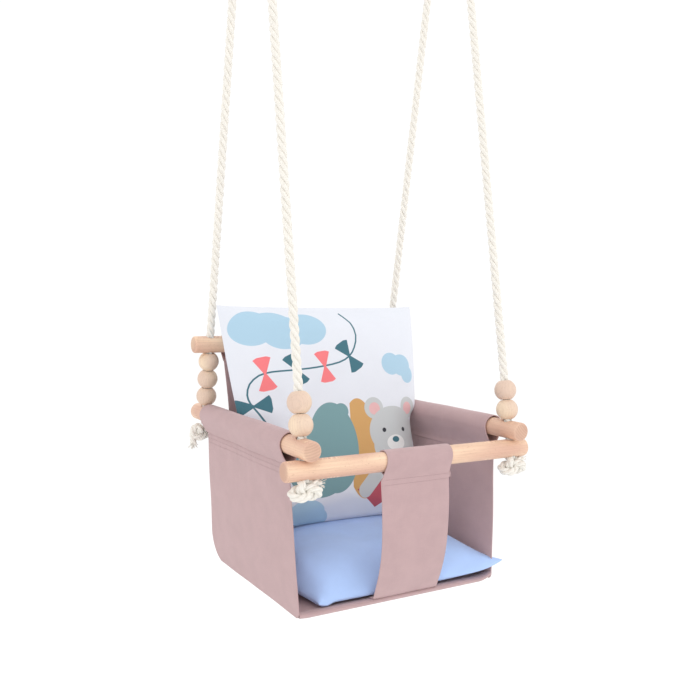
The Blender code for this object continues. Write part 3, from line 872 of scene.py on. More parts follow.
def rope_route():
    """Points of a whole rope in its own upright plane, from knot to knot over its ring."""
    leg = (RING_HEIGHT + BINDING_FOOT_Z) / math.cos(LEAN)
    front_end = (DOWEL_D + GAP) / math.cos(LEAN) + DOWEL_R + 0.001
    rear_end = (DOWEL_R + GAP) / math.cos(LEAN) + 0.016 * math.tan(LEAN) + 0.001
    shares = (0.0, 0.12, 0.24, 0.36, 0.48, 0.60, 0.72, 0.84, 0.94, 0.975)
    front = [leg_point(UP_FRONT, FRONT_HOLE_Y, -front_end)]
    front += [leg_point(UP_FRONT, FRONT_HOLE_Y, share * leg) for share in shares]
    rear = [leg_point(UP_REAR, REAR_HOLE_Y, -rear_end)]
    rear += [leg_point(UP_REAR, REAR_HOLE_Y, share * leg) for share in shares]
    top = RING_WIRE_D / 2 + GAP + ROPE_D / 2
    half = [(LEG_OFFSET, -EYE_LENGTH + BINDING_LENGTH * share) for share in (-0.5, 0, 0.5)]
    half += arc(0, top - EYE_RADIUS, EYE_RADIUS, -25, 70, 4)
    rising = [Vector((0, -y, z)) for y, z in half]
    falling = [Vector((0, y, z)) for y, z in reversed(half)]
    return front + rising + [Vector((0, 0, top))] + falling + rear[::-1]


def knot_route(tail):
    """An overhand knot, a trefoil left open at its top: the rope comes down +Z and ends in the tail."""
    wide, high, deep = KNOT_SIZE
    points = [(0.2 * wide, 0.0, 0.0150), (0.6 * wide, -0.001, 0.0120)]
    for turn in np.linspace(math.pi + 0.5, 3 * math.pi - 0.65, 23):
        across = math.sin(turn) + 2 * math.sin(2 * turn)
        upward = -(math.cos(turn) - 2 * math.cos(2 * turn))
        points.append((across * wide, -math.sin(3 * turn) * deep, upward * high))
    return smooth_line(points + tail, 4)


# Distance between the points of a rope and of a twine, in metres
ROPE_STEP = 0.0016
TWINE_STEP = 0.0011

# The rope of a knot, pulled tight: its width, strand width, lay length and step
KNOT_ROPE = (0.0108, 0.0054, 0.030, 0.0014)

# A knot's half width, height and depth, and the paths of its loose ends, in metres
KNOT_SIZE = (0.0060, 0.0036, 0.0054)
FRONT_TAIL = [(-0.0105, -0.001, 0.0085), (-0.0165, -0.003, 0.0088), (-0.0215, -0.005, 0.0078)]
REAR_TAIL = [
    (-0.0095, 0.002, 0.0080), (-0.0150, 0.0015, 0.0060), (-0.0175, 0.0, -0.0010),
    (-0.0170, -0.001, -0.0090), (-0.0160, -0.001, -0.0175)]


def make_knot(name, place, up, tail, mirrored):
    """A stopper knot of the same laid rope, with a frayed tail."""
    flip = -1 if mirrored else 1
    route = [Vector((flip * x, y, z)) for x, y, z in knot_route(tail)]
    rope = laid_rope("rope", route, *KNOT_ROPE, cotton_rope())
    tuft = grown("tuft", placed("tuft", bpy.data.meshes.new("tuft")), tuft_tree(), {
        "Count": 34, "Length": 0.0085, "Spread": 0.55, "Finish": cotton_rope()})
    run = (route[-1] - route[-3]).normalized()
    tuft.data.transform(aligned(route[-1] - run * 0.001, -run))
    set_vectors(tuft.data, "around", points_of(tuft.data) * 900)
    set_numbers(tuft.data, "along", points_of(tuft.data)[:, 2])
    knot = joined(name, [rope, tuft], cotton_rope())
    knot.data.transform(aligned(place, up))
    knot.data.shade_smooth()
    return knot


class SWING_OT_ropes(bpy.types.Operator):
    """Lay both ropes from knot to knot over their rings, with knots and twine bindings"""
    bl_idname = "swing.ropes"
    bl_label = "Ropes, knots and bindings"

    def execute(self, context):
        for side, sign in SIDES:
            self.make_side(side, sign * SIDE_X)
        return {"FINISHED"}

    def make_side(self, side, x):
        route = [point + Vector((x, 0, 0)) for point in smooth_line(rope_route(), 8)]
        rope = laid_rope(
            f"{side}_rope_laid", route, ROPE_D, sizes().strand_width, sizes().lay_length, ROPE_STEP,
            cotton_rope())
        length = sum((b - a).length for a, b in zip(route, route[1:]))
        front = middle(f"{side}_front_knot") + UP_FRONT * 0.003
        rear = middle(f"{side}_rear_knot") + UP_REAR * 0.002
        knots = [
            make_knot(f"{side}_front_knot_tied", front, UP_FRONT, FRONT_TAIL, False),
            make_knot(f"{side}_rear_knot_tied", rear, UP_REAR, REAR_TAIL, side == "right")]
        binding = self.make_binding(side, x)
        for knot, node in zip(knots, ("front", "rear")):
            settle(knot, "seat", "cotton", f"{side}_{node}_knot")
        settle(binding, "seat", "twine", f"{side}_rope_binding")
        settle(rope, "seat", "cotton", f"{side}_rope")
        tuple(route[0])
        [tuple(point) for point in route]

    def make_binding(self, side, x):
        """Turns of twine laid close together round both legs below the eye."""
        width = sizes().twine_width
        turns = int(BINDING_LENGTH / width)
        reach = ROPE_D / 2 + width / 2 + 0.0002
        points = []
        for step in range(turns * 28 + 1):
            angle = math.tau * step / 28
            sway = max(-1.0, min(1.0, 1.25 * math.sin(angle)))
            z = -EYE_LENGTH - BINDING_LENGTH / 2 + (BINDING_LENGTH - width) * step / (turns * 28)
            points.append(Vector((
                x + reach * math.cos(angle), LEG_OFFSET * sway + reach * math.sin(angle),
                z + width / 2)))
        return laid_rope(
            f"{side}_twine_binding", points, width, width * 0.5, width * 3.0, TWINE_STEP, twine())


class SWING_OT_rings(bpy.types.Operator):
    """Turn the two welded steel rings that the swing hangs from"""
    bl_idname = "swing.rings"
    bl_label = "Hang rings"

    def execute(self, context):
        for side, sign in SIDES:
            wire = RING_WIRE_D / 2
            mesh = turned(arc(RING_D / 2, 0, wire, 0, 337.5, 15), 72, closed=True)
            points = points_of(mesh)
            weld = np.exp(-((np.arctan2(points[:, 1], points[:, 0]) - 1.9) / 0.09) ** 2)
            middle_line = np.zeros_like(points)
            radius = np.hypot(points[:, 0], points[:, 1])
            middle_line[:, :2] = points[:, :2] / radius[:, None] * RING_D / 2
            points = middle_line + (points - middle_line) * (1 + 0.1 * weld[:, None])
            move_points(mesh, points)
            mesh.transform(Matrix.Translation((sign * SIDE_X, 0, RING_D / 2)) @ Matrix.Rotation(
                math.pi / 2, 4, "X"))
            item = add_object(f"{side}_steel_ring", mesh, steel())
            settle(item, "hang_rings", "steel", f"{side}_hang_ring")
        return {"FINISHED"}


# ---------------------------------------------------------------- wood

# Metres
HOLE_CHAMFER = 0.0012
DOWEL_END_ROUNDING = 0.0032
END_GRAIN_DEPTH = 0.0009


def mark_grain(mesh, offset, turn, ends=None):
    """Store each point's place in the piece's own timber, and where its end grain shows."""
    points = points_of(mesh)
    set_vectors(mesh, "grain", points @ np.array(turn.to_3x3()).T + np.array(offset))
    shown = np.zeros(len(points))
    if ends is not None:
        shown = np.clip((np.abs(points[:, 2]) - ends) / END_GRAIN_DEPTH + 1, 0, 1)
    set_numbers(mesh, "end_grain", shown)


def dowel_mesh(length):
    """A dowel along Z with softened ends and rings of points along its length."""
    half = length / 2
    top = arc(DOWEL_R - DOWEL_END_ROUNDING, half - DOWEL_END_ROUNDING, DOWEL_END_ROUNDING, 90, 0, 6)
    profile = [(0, half), (DOWEL_R * 0.4, half)] + top
    profile += [(DOWEL_R, half * k) for k in (0.6, 0.2, -0.2, -0.6)]
    profile += [(radius, -z) for radius, z in reversed(top)] + [(DOWEL_R * 0.4, -half), (0, -half)]
    return turned(profile, 64)


def hole_cutter(centre, direction):
    """A rope hole's cutter, opened a little where it meets the dowel's surface."""
    reach = DOWEL_R + 0.004
    hole = HOLE_D / 2
    mouth = hole + HOLE_CHAMFER
    profile = [(0, reach), (mouth, reach), (mouth, DOWEL_R + 0.0002), (hole, DOWEL_R - HOLE_CHAMFER)]
    profile += [(radius, -z) for radius, z in reversed(profile)]
    mesh = turned(profile, 40)
    mesh.transform(aligned(centre, direction))
    return mesh


def cut(item, cutter_mesh):
    """Take a cutter's shape out of a piece."""
    cutter = placed("cutter", cutter_mesh)
    change = item.modifiers.new("cut", "BOOLEAN")
    change.operation = "DIFFERENCE"
    change.solver = "EXACT"
    change.object = cutter
    mesh = evaluated(item)
    item.modifiers.remove(change)
    item.data = mesh
    bpy.data.objects.remove(cutter, do_unlink=True)


class SWING_OT_dowels(bpy.types.Operator):
    """Turn the four dowels and drill their rope holes"""
    bl_idname = "swing.dowels"
    bl_label = "Dowels"

    def execute(self, context):
        for number, (side, sign) in enumerate(SIDES):
            along = Matrix.Rotation(math.pi / 2, 4, "X")
            x = sign * SIDE_X
            holes = [((x, FRONT_HOLE_Y, DOWEL_Z), UP_FRONT), ((x, REAR_HOLE_Y, DOWEL_Z), UP_REAR)]
            self.make(f"{side}_side_dowel", along, holes, number + 1, 1)
        across = Matrix.Rotation(math.pi / 2, 4, "Y")
        for number, (node, centre, up) in enumerate((
                ("front_bar", BAR, UP_FRONT), ("back_dowel", BACK_DOWEL, UP_REAR))):
            holes = [((sign * SIDE_X, centre.y, centre.z), up) for _, sign in SIDES]
            self.make(node, across, holes, number + 5, 0)
        return {"FINISHED"}

    def make(self, node, turn, holes, number, axis):
        """One dowel as long as its frame part, drilled, its grain shifted and turned by its number."""
        low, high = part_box(node)
        length = high[axis] - low[axis]
        mesh = dowel_mesh(length)
        grain_turn = Matrix.Rotation(1.3 * number, 4, "Z")
        mark_grain(mesh, (0.005 * number, 0.011 * number, 0.31 * number), grain_turn, length / 2)
        mesh.transform(Matrix.Translation(middle(node)) @ turn)
        item = add_object(f"{node}_turned", mesh, beech())
        for centre, up in holes:
            cut(item, hole_cutter(Vector(centre), up))
        dress(item.data, beech())
        item.data.shade_smooth()
        item.data.set_sharp_from_angle(angle=math.radians(35))
        settle(item, "seat", "beech", node)


class SWING_OT_beads(bpy.types.Operator):
    """Turn the ten wooden beads, each with its grain lying its own way"""
    bl_idname = "swing.beads"
    bl_label = "Beads"

    def execute(self, context):
        number = 0
        for side, _ in SIDES:
            for row, count, up in (("front", 2, UP_FRONT), ("rear", 3, UP_REAR)):
                for place in range(count):
                    number += 1
                    self.make(f"{side}_{row}_bead_{place + 1}", up, number)
        return {"FINISHED"}

    def make(self, node, up, number):
        """One ball with a softened hole along the rope, its grain shifted and turned by its number."""
        radius, hole = BEAD_D / 2, HOLE_D / 2
        start = math.degrees(math.acos((hole + 0.0008) / radius))
        ball = arc(0, 0, radius, start, -start, 26)
        rim = ball[0][1] - 0.0006
        mesh = turned([(hole, rim)] + ball + [(hole, -rim)], 48, closed=True)
        tilt = Matrix.Rotation(0.22 * (number % 3 - 1), 4, "X")
        grain_turn = Matrix.Rotation(1.1 * number, 4, "Z") @ tilt
        mark_grain(mesh, (0.009 * number, 0.004 * number, 0.07 * number), grain_turn)
        mesh.transform(aligned(middle(node), up))
        item = add_object(f"{node}_turned", mesh, bead_beech())
        settle(item, node, "bead_wood", node)


# ---------------------------------------------------------------- canvas

def resampled(points, count):
    """A polyline's points, spread evenly along it."""
    points = np.array(points, dtype=float)
    steps = np.linalg.norm(np.diff(points, axis=0), axis=1)
    along = np.concatenate([[0], np.cumsum(steps)])
    wanted = np.linspace(0, along[-1], count)
    return np.stack([np.interp(wanted, along, points[:, k]) for k in range(points.shape[1])], axis=1)


def grid_normals(grid):
    """The direction across the cloth at each point of a grid."""
    rows = np.gradient(grid, axis=0)
    columns = np.gradient(grid, axis=1)
    normal = np.cross(rows, columns)
    return normal / np.maximum(np.linalg.norm(normal, axis=2, keepdims=True), 1e-12)


def sheet_mesh(name, grid, thickness, layer):
    """A closed cloth of even thickness with rounded edges, from a grid of middle points."""
    rows, columns = grid.shape[:2]
    normal = grid_normals(grid)
    bulge = thickness * 0.42
    run_u = np.linalg.norm(np.diff(grid, axis=1), axis=2).mean(axis=0)
    run_v = np.linalg.norm(np.diff(grid, axis=0), axis=2).mean(axis=1)
    place_u = np.concatenate([[0], np.cumsum(run_u)])
    place_v = np.concatenate([[0], np.cumsum(run_v)])

    def edged(line, inner):
        out = line - inner
        return line + out / np.maximum(np.linalg.norm(out, axis=-1, keepdims=True), 1e-12) * bulge

    left = edged(grid[:, 0], grid[:, 1])
    right = edged(grid[:, -1], grid[:, -2])
    top, bottom = grid + normal * thickness / 2, grid - normal * thickness / 2
    loops = np.concatenate([top, right[:, None], bottom[:, ::-1], left[:, None]], axis=1)
    cloth_u = np.concatenate([place_u, [place_u[-1] + bulge], place_u[::-1], [-bulge]])
    size = loops.shape[1]
    points = loops.reshape(-1, 3)
    cloth = np.stack([
        np.tile(cloth_u, rows), np.repeat(place_v, size), np.full(rows * size, float(layer))], axis=1)
    faces = []
    for row in range(rows - 1):
        for column in range(size):
            ahead = (column + 1) % size
            faces.append((
                row * size + column, row * size + ahead, (row + 1) * size + ahead, (row + 1) * size + column))
    extra, extra_cloth = [], []
    for row, inner, side in ((0, 1, 1), (rows - 1, rows - 2, -1)):
        start = len(points) + len(extra)
        extra += list(edged(grid[row], grid[inner]))
        extra_cloth += [(u, place_v[row] - side * bulge, layer) for u in place_u]
        upper = [row * size + column for column in range(columns)]
        lower = [row * size + 2 * columns - column for column in range(columns)]
        for column in range(columns - 1):
            a, b = start + column, start + column + 1
            faces.append((upper[column], upper[column + 1], b, a)[::-side])
            faces.append((a, b, lower[column + 1], lower[column])[::-side])
        first, last = row * size + size - 1, row * size + columns
        faces.append((first, upper[0], start)[::-side])
        faces.append((first, start, lower[0])[::-side])
        faces.append((upper[-1], last, start + columns - 1)[::-side])
        faces.append((last, lower[-1], start + columns - 1)[::-side])
    mesh = mesh_of(name, np.concatenate([points, extra]), faces)
    set_vectors(mesh, "cloth", np.concatenate([cloth, extra_cloth]))
    return outward(mesh)


def ripple(grid, amount, scale, seed):
    """Move a cloth's points a little along its normals, as a hand-sewn sheet lies."""
    normal = grid_normals(grid)
    shift = np.empty(grid.shape[:2])
    for row in range(grid.shape[0]):
        for column in range(grid.shape[1]):
            point = Vector(grid[row, column]) * scale + Vector((seed, 0, 0))
            shift[row, column] = noise.noise(point)
    return grid + normal * (shift * amount)[:, :, None]


def sewn(name, grid, layer, stitches, node):
    """Make one canvas piece and its stitch rows."""
    item = add_object(name, sheet_mesh(name, grid, CLOTH, layer), canvas())
    normal = grid_normals(grid)
    rows = []
    for side, line in stitches:
        lifted = []
        for v, u in line:
            i, j = min(int(v), grid.shape[0] - 2), min(int(u), grid.shape[1] - 2)
            a, b = v - i, u - j
            weight = np.array([(1 - a) * (1 - b), (1 - a) * b, a * (1 - b), a * b])
            spots = np.array([grid[i, j], grid[i, j + 1], grid[i + 1, j], grid[i + 1, j + 1]])
            normals = np.array([normal[i, j], normal[i, j + 1], normal[i + 1, j], normal[i + 1, j + 1]])
            lifted.append(weight @ spots + side * (weight @ normals) * (CLOTH / 2 + THREAD_LIFT))
        rows.append(stitch_row(lifted))
    settle(item, "seat", "canvas", node)
    seam = settle(joined(f"{name}_stitches", rows, thread()), "seat", "canvas")


def cross_line(row, columns, inset):
    """A stitch line across a piece at one row."""
    return [(row, u) for u in np.linspace(inset, columns - 1 - inset, columns)]


def spread_out(line, columns, edges, across=0):
    """A cloth's grid: each point of its profile drawn out from edge to edge, along X or along Y."""
    grid = np.zeros((len(line), columns, 3))
    for row, (place, z) in enumerate(line):
        grid[row, :, across] = np.linspace(*edges(row, z), columns)
        grid[row, :, 1 - across] = place
        grid[row, :, 2] = z
    return grid


def casing(dowel, tail):
    """Profile of a casing: up from its seam, round the dowel, and down to its turned-in end."""
    middle_line, meet_z = dowel[0], dowel[1] - CASING_TAIL
    rise = [(CLOTH * 0.5, 0), *CASING_SWELL]
    fall = [(-out, up) for out, up in reversed(CASING_SWELL)]
    fall += [(-CLOTH * 0.62, 0), (-tail, -0.007)]
    turn = arc(*dowel, DOWEL_R + CASING_EASE + CLOTH / 2, -8, 188, 22)
    return ([(middle_line + out, meet_z + up) for out, up in rise] + turn
            + [(middle_line + out, meet_z + up) for out, up in fall])


def casing_seam(line, meet_z):
    """The row where the outer cloth of a casing meets its seam."""
    top_row = int(np.argmax(line[:, 1]))
    return int(np.argmin(np.abs(line[:top_row, 1] - meet_z)))


class SWING_OT_side_panels(bpy.types.Operator):
    """Sew the two canvas sides, each with a casing round its dowel"""
    bl_idname = "swing.side_panels"
    bl_label = "Side panels"

    def execute(self, context):
        for side, sign in SIDES:
            self.make(side, sign)
        return {"FINISHED"}

    def make(self, side, sign):
        meet_z = DOWEL_Z - CASING_TAIL
        foot = (BASE_HALF_WIDTH, BASE_Z + 0.001)
        belly = (0.5 * (foot[0] + SIDE_X + CLOTH * 0.5) + 0.0006, 0.5 * (foot[1] + meet_z))
        profile = [foot, belly] + casing((SIDE_X, DOWEL_Z), CLOTH * 0.62 + 0.0003)
        line = resampled(smooth_2d([(sign * x, z) for x, z in profile], 6), 150)
        columns = 64
        grid = spread_out(line, columns, lambda row, z: self.edges(z, row > len(line) * 0.55), across=1)
        seam_row = casing_seam(line, meet_z)
        rows = (seam_row, seam_row - 3.2, len(line) - 5)
        stitches = [(-sign, cross_line(row, columns, 1.0)) for row in rows]
        sewn(f"{side}_canvas_side", self.worked(grid, sign), 1 if sign > 0 else 2, stitches,
             f"{side}_side_panel")

    def edges(self, z, inner):
        """Front and rear edges of the cloth at a height."""
        share = min(1.0, max(0.0, (DOWEL_Z - CASING_TAIL - z) / (SEAT_DROP - CASING_TAIL)))
        front = FRONT_HOLE_Y + CASING_FRONT + (BASE_FRONT - CASING_FRONT) * share
        rise = z - BASE_Z
        if rise < HEM_ROUNDING and not inner:
            front += HEM_ROUNDING - math.sqrt(max(0.0, HEM_ROUNDING ** 2 - (HEM_ROUNDING - rise) ** 2))
        rear = REAR_EDGE_Y
        if rise < REAR_CORNER_RADIUS and not inner:
            drop = REAR_CORNER_RADIUS - rise
            rear -= REAR_CORNER_RADIUS - math.sqrt(max(0.0, REAR_CORNER_RADIUS ** 2 - drop ** 2))
        return front, rear

    def worked(self, grid, sign):
        """Soft waves below the casing's seam, and slight ripples over the panel."""
        grid = ripple(grid, 0.0011, 13.0, 3.0 * sign)
        depth = DOWEL_Z - grid[:, :, 2]
        below = np.clip((depth - 0.02) / 0.012, 0, 1) * np.exp(-np.clip(depth - 0.034, 0, 1) / 0.03)
        wave = np.sin(grid[:, :, 1] * 330 + 2.0 * np.sin(grid[:, :, 1] * 61 + sign)) * 0.00035
        grid[:, :, 0] += sign * wave * below
        return grid


def smooth_2d(points, steps):
    return [(p.x, p.y) for p in smooth_line([(a, b, 0) for a, b in points], steps)]


class SWING_OT_seat_base(bpy.types.Operator):
    """Sew the canvas base, turned over at its front hem and up at its rear"""
    bl_idname = "swing.seat_base"
    bl_label = "Seat base"

    def execute(self, context):
        low = BASE_Z + CLOTH / 2
        high = low + CLOTH + 0.0024
        fold = (high - low) / 2
        centre = (REAR_EDGE_Y - REAR_CORNER_RADIUS, BASE_Z + REAR_CORNER_RADIUS)
        front = FRONT_EDGE_Y + fold
        profile = [(front + 0.015, low + CLOTH + 0.0003), (front + 0.009, high - 0.0008)]
        profile += [(front + 0.005, high)] + arc(front, low + fold, fold, 90, 270, 8)
        profile += [(front + 0.02, low), (0.0, low), (centre[0] - 0.02, low)]
        profile += arc(*centre, REAR_CORNER_RADIUS - CLOTH / 2, -90, 0, 14)
        line = resampled(profile, 190)
        half = BASE_HALF_WIDTH - CLOTH / 2 - GAP
        columns = 70
        grid = spread_out(line, columns, lambda row, z: (-half, half))
        across = grid[:, :, 0] / half
        near_front = np.exp(-np.clip(grid[:, :, 1] - FRONT_EDGE_Y, 0, 1) / 0.03)
        grid[:, :, 2] += 0.0060 * np.clip((across - 0.86) / 0.14, 0, 1) ** 2 * near_front
        grid[:, :, 2] += 0.0012 * np.clip((-across - 0.90) / 0.10, 0, 1) ** 2 * near_front
        inside = grid[:, :, 1] > FRONT_EDGE_Y + 0.03
        shifted = ripple(grid, 0.0006, 18.0, 9.0)
        grid[inside] = shifted[inside]
        hem_row = int(np.argmin(np.abs(line[:12, 0] - (front + 0.011))))
        stitches = [(1, cross_line(hem_row, columns, 0.8))]
        sewn("canvas_base", grid, 3, stitches, "seat_base")
        return {"FINISHED"}


class SWING_OT_back_panel(bpy.types.Operator):
    """Sew the canvas back that hangs from the back dowel"""
    bl_idname = "swing.back_panel"
    bl_label = "Back panel"

    def execute(self, context):
        dowel = (BACK_DOWEL.y, BACK_DOWEL.z)
        meet_z = dowel[1] - CASING_TAIL
        foot_y = REAR_EDGE_Y - CLOTH / 2
        foot_z = BASE_Z + REAR_CORNER_RADIUS + GAP
        profile = [(foot_y, foot_z), (foot_y, meet_z - 0.11)] + casing(dowel, CLOTH * 0.66)
        line = resampled(smooth_2d(profile, 6), 170)
        columns = 70

        def edges(row, z):
            share = min(1.0, max(0.0, (z - foot_z) / (dowel[1] - foot_z)))
            half = BACK_HALF_WIDTH - BACK_WAIST * math.sin(math.pi * share) ** 1.5
            return -half, half

        grid = ripple(spread_out(line, columns, edges), 0.0012, 11.0, 21.0)
        seam_row = casing_seam(line, meet_z)
        stitches = [(-1, cross_line(row, columns, 1.0)) for row in (seam_row, seam_row - 3.0, 3.0)]
        sewn("canvas_back", grid, 4, stitches, "back_panel")
        return {"FINISHED"}


class SWING_OT_front_strap(bpy.types.Operator):
    """Sew the strap from the front bar down to the base"""
    bl_idname = "swing.front_strap"
    bl_label = "Front strap"

    def execute(self, context):
        bar = (BAR.y, BAR.z)
        radius = DOWEL_R + 0.0006 + CLOTH / 2
        meet = (bar[0] - STRAP_SEAM_FORWARD, bar[1] - STRAP_SEAM_DROP)
        foot = (FRONT_EDGE_Y + 0.0022, BASE_Z + 0.0068)
        turn = arc(*bar, radius, 197, -72, 26)
        profile = [(foot[0] + 0.010, foot[1] - 0.0016), (foot[0] + 0.004, foot[1] - 0.0002), foot]
        profile += [(foot[0] + (meet[0] - foot[0]) * k - 0.0125 * math.sin(math.pi * k ** 0.85),
                     foot[1] + (meet[1] - foot[1]) * k) for k in (0.05, 0.2, 0.4, 0.6, 0.8)]
        profile += [meet] + turn
        back = (meet[0] + CLOTH * 1.05, meet[1])
        profile += [(back[0] + 0.0045, back[1] + 0.0035), back, (back[0] + 0.0006, back[1] - 0.006)]
        line = resampled(smooth_2d(profile, 6), 170)
        columns = 44
        top_row = int(np.argmax(line[:, 1]))
        seam_row = int(np.argmin(np.linalg.norm(line[:top_row] - np.array(meet), axis=1)))

        def edges(row, z):
            """The strap leans a little to the right as it drops, and narrows as it goes round the bar."""
            drop = meet[1] - z if row < seam_row else 0.0
            share = min(1.0, max(0.0, drop / 0.17))
            wrap = min(1.0, max(0.0, (row - seam_row) / 22.0))
            left = -0.0575 + 0.0140 * share + 0.0090 * wrap ** 0.6
            right = 0.0455 + 0.0105 * share + 0.0050 * wrap ** 0.8
            return left, right

        grid = ripple(spread_out(line, columns, edges), 0.0009, 20.0, 31.0)
        stitches = [(-1, cross_line(row, columns, 0.6)) for row in (seam_row, seam_row - 4.0)]
        sewn("canvas_strap", grid, 5, stitches, "front_strap")
        return {"FINISHED"}


# ---------------------------------------------------------------- cushions

# How far a cushion's sides pull in between its corners, as a share of its half width
SEAM_PULL = 0.012

# The frames over which a cushion is puffed
PUFF_FRAMES = 20

# Metres: the seat cushion's seam above its underside, and the back cushion's seam, left and right
SEAT_SEAM_RISE = 0.020
BACK_SEAM_LEFT = -0.1685
BACK_SEAM_RIGHT = 0.1655


def pillow_mesh(width_at, length, above, below, floor_power, rows):
    """A knife-edged pillow in its own sheet: x across, y along, crowned up and down."""
    def bulge(u, v, power):
        return ((1 - abs(u) ** 2.6) * (1 - abs(v) ** 2.6)) ** power

    def spread(share):
        """-1 to 1, with the points drawn a little closer near the seam."""
        return 0.45 * -math.cos(math.pi * share) + 0.55 * (2 * share - 1)

    shape = bmesh.new()
    grids = []
    for height, power in ((above, 0.52), (-below, floor_power)):
        grid = []
        for row in range(rows + 1):
            v = spread(row / rows)
            line = []
            for column in range(rows + 1):
                u = spread(column / rows)
                share = (v + 1) / 2
                pull_x = 1 - SEAM_PULL * (1 - v * v) * abs(u) ** 6
                pull_y = 1 - SEAM_PULL * (1 - u * u) * abs(v) ** 6
                x = u * width_at(share) / 2 * pull_x
                y = length / 2 + v * length / 2 * pull_y
                edge = row in (0, rows) or column in (0, rows)
                line.append(shape.verts.new((x, y, 0 if edge else height * bulge(u, v, power))))
            grid.append(line)
        grids.append(grid)
    for grid in grids:
        for row in range(rows):
            for column in range(rows):
                shape.faces.new((
                    grid[row][column], grid[row][column + 1], grid[row + 1][column + 1],
                    grid[row + 1][column]))
    bmesh.ops.remove_doubles(shape, verts=shape.verts, dist=1e-6)
    mesh = bpy.data.meshes.new("pillow")
    shape.to_mesh(mesh)
    shape.free()
    return outward(mesh)


def puffed(mesh, pressure, cap, limits):
    """Inflate a cushion as cloth, and limit how far each point may move."""
    item = add_object("puff", mesh, None)
    start = points_of(item.data).copy()
    cloth = item.modifiers.new("cloth", "CLOTH")
    cloth.settings.quality = 6
    cloth.settings.mass = 0.2
    cloth.settings.tension_stiffness = 14
    cloth.settings.compression_stiffness = 6
    cloth.settings.shear_stiffness = 6
    cloth.settings.bending_stiffness = 0.35
    cloth.settings.use_pressure = True
    cloth.settings.uniform_pressure_force = pressure
    cloth.settings.effector_weights.gravity = 0.0
    cloth.collision_settings.use_collision = False
    cloth.point_cache.frame_start = 1
    cloth.point_cache.frame_end = PUFF_FRAMES
    for step in range(1, PUFF_FRAMES + 1):
        bpy.context.scene.frame_set(step)
    shape = evaluated(item)
    item.modifiers.clear()
    bpy.context.scene.frame_set(1)
    moved = points_of(shape) - start
    far = np.linalg.norm(moved, axis=1, keepdims=True)
    moved *= np.minimum(1.0, cap / np.maximum(far, 1e-9))
    move_points(shape, limits(start + moved))
    item.data = shape
    return item


def fit_sheet(item, low, high):
    """Bring a puffed cushion's seam back to its sewn width and length."""
    points = points_of(item.data).copy()
    for axis in (0, 1):
        least, most = points[:, axis].min(), points[:, axis].max()
        points[:, axis] = low[axis] + (points[:, axis] - least) * (high[axis] - low[axis]) / (most - least)
    move_points(item.data, points)


def nearness(points, x, y, reach):
    """1 at a place seen from above, fading smoothly away from it."""
    return np.exp(-(np.hypot(points[:, 0] - x, points[:, 1] - y) / reach) ** 2)


def finer(item):
    """One level of subdivision, applied."""
    change = item.modifiers.new("finer", "SUBSURF")
    change.levels = change.render_levels = 1
    mesh = evaluated(item)
    item.modifiers.clear()
    item.data = mesh
    mesh.shade_smooth()


class SWING_OT_seat_cushion(bpy.types.Operator):
    """Fill the loose seat cushion, its front corners pushed out between strap and sides"""
    bl_idname = "swing.seat_cushion"
    bl_label = "Seat cushion"

    def execute(self, context):
        low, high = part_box("seat_cushion")
        width, depth = high[0] - low[0], high[1] - low[1]
        floor_z = low[2]
        seam_z = floor_z + SEAT_SEAM_RISE
        mesh = pillow_mesh(lambda share: width * 0.985, depth * 0.985, 0.036, 0.018, 0.22, 40)
        mesh.transform(Matrix.Translation((0, low[1] + depth * 0.008, seam_z)))

        def limits(points):
            points = points.copy()
            points[:, 0] = np.clip(points[:, 0], low[0], high[0])
            points[:, 2] = np.clip(points[:, 2], floor_z, high[2] + 0.004)
            return points

        item = puffed(mesh, 3.0 + 2.0 * sizes().cushion_fill, 0.010, limits)
        fit_sheet(item, (low[0], low[1]), (high[0], high[1]))
        points = points_of(item.data).copy()
        # the front edge hangs a little lower and further forward
        ahead = np.clip((low[1] + 0.060 - points[:, 1]) / 0.060, 0, 1) ** 1.5
        pull = nearness(points, high[0], low[1], 0.050)
        tip = nearness(points, high[0], low[1], 0.020)
        points[:, 2] -= ahead * 0.0150 * np.clip((points[:, 2] - floor_z) / 0.020, 0, 1) * (1 - tip)
        points[:, 1] -= ahead * 0.007 * (1 - tip)
        # the right front corner is pushed out past the side panel
        points[:, 0] += pull * 0.027
        points[:, 1] -= pull * 0.015
        points[:, 2] += pull * 0.004 - pull * (points[:, 2] - seam_z) * 0.45
        # the left front corner is tucked in, with a crease behind it
        tuck = nearness(points, low[0], low[1], 0.042)
        points[:, 0] += tuck * 0.022
        points[:, 1] += tuck * 0.004
        crease = np.exp(-(((points[:, 0] - low[0] - 0.036) + (points[:, 1] - low[1]) * 0.55) / 0.007) ** 2)
        points[:, 2] -= crease * 0.0045 * np.clip((low[1] + 0.085 - points[:, 1]) / 0.05, 0, 1)
        # the top is uneven, and sits in behind the strap
        wave = np.array([noise.noise(Vector((x * 11, y * 11, 4.0))) for x, y, _ in points])
        dent = np.exp(-(((points[:, 0] + 0.028) / 0.030) ** 2 + ((points[:, 1] + 0.055) / 0.035) ** 2))
        top = np.clip((points[:, 2] - seam_z) / 0.015, 0, 1)
        points[:, 2] += top * (0.0016 * wave - 0.0050 * dent)
        # the underside rests on the base, and on its thicker hem at the front
        rest = floor_z + 0.0002 + 0.0022 * np.clip((FRONT_EDGE_Y + 0.017 - points[:, 1]) / 0.004, 0, 1)
        points[:, 2] = np.maximum(points[:, 2], rest)
        move_points(item.data, points)
        finer(item)
        item.name = "seat_pillow"
        dress(item.data, seat_cotton())
        settle(item, "seat_cushion", "blue_cotton", "seat_cushion")
        return {"FINISHED"}


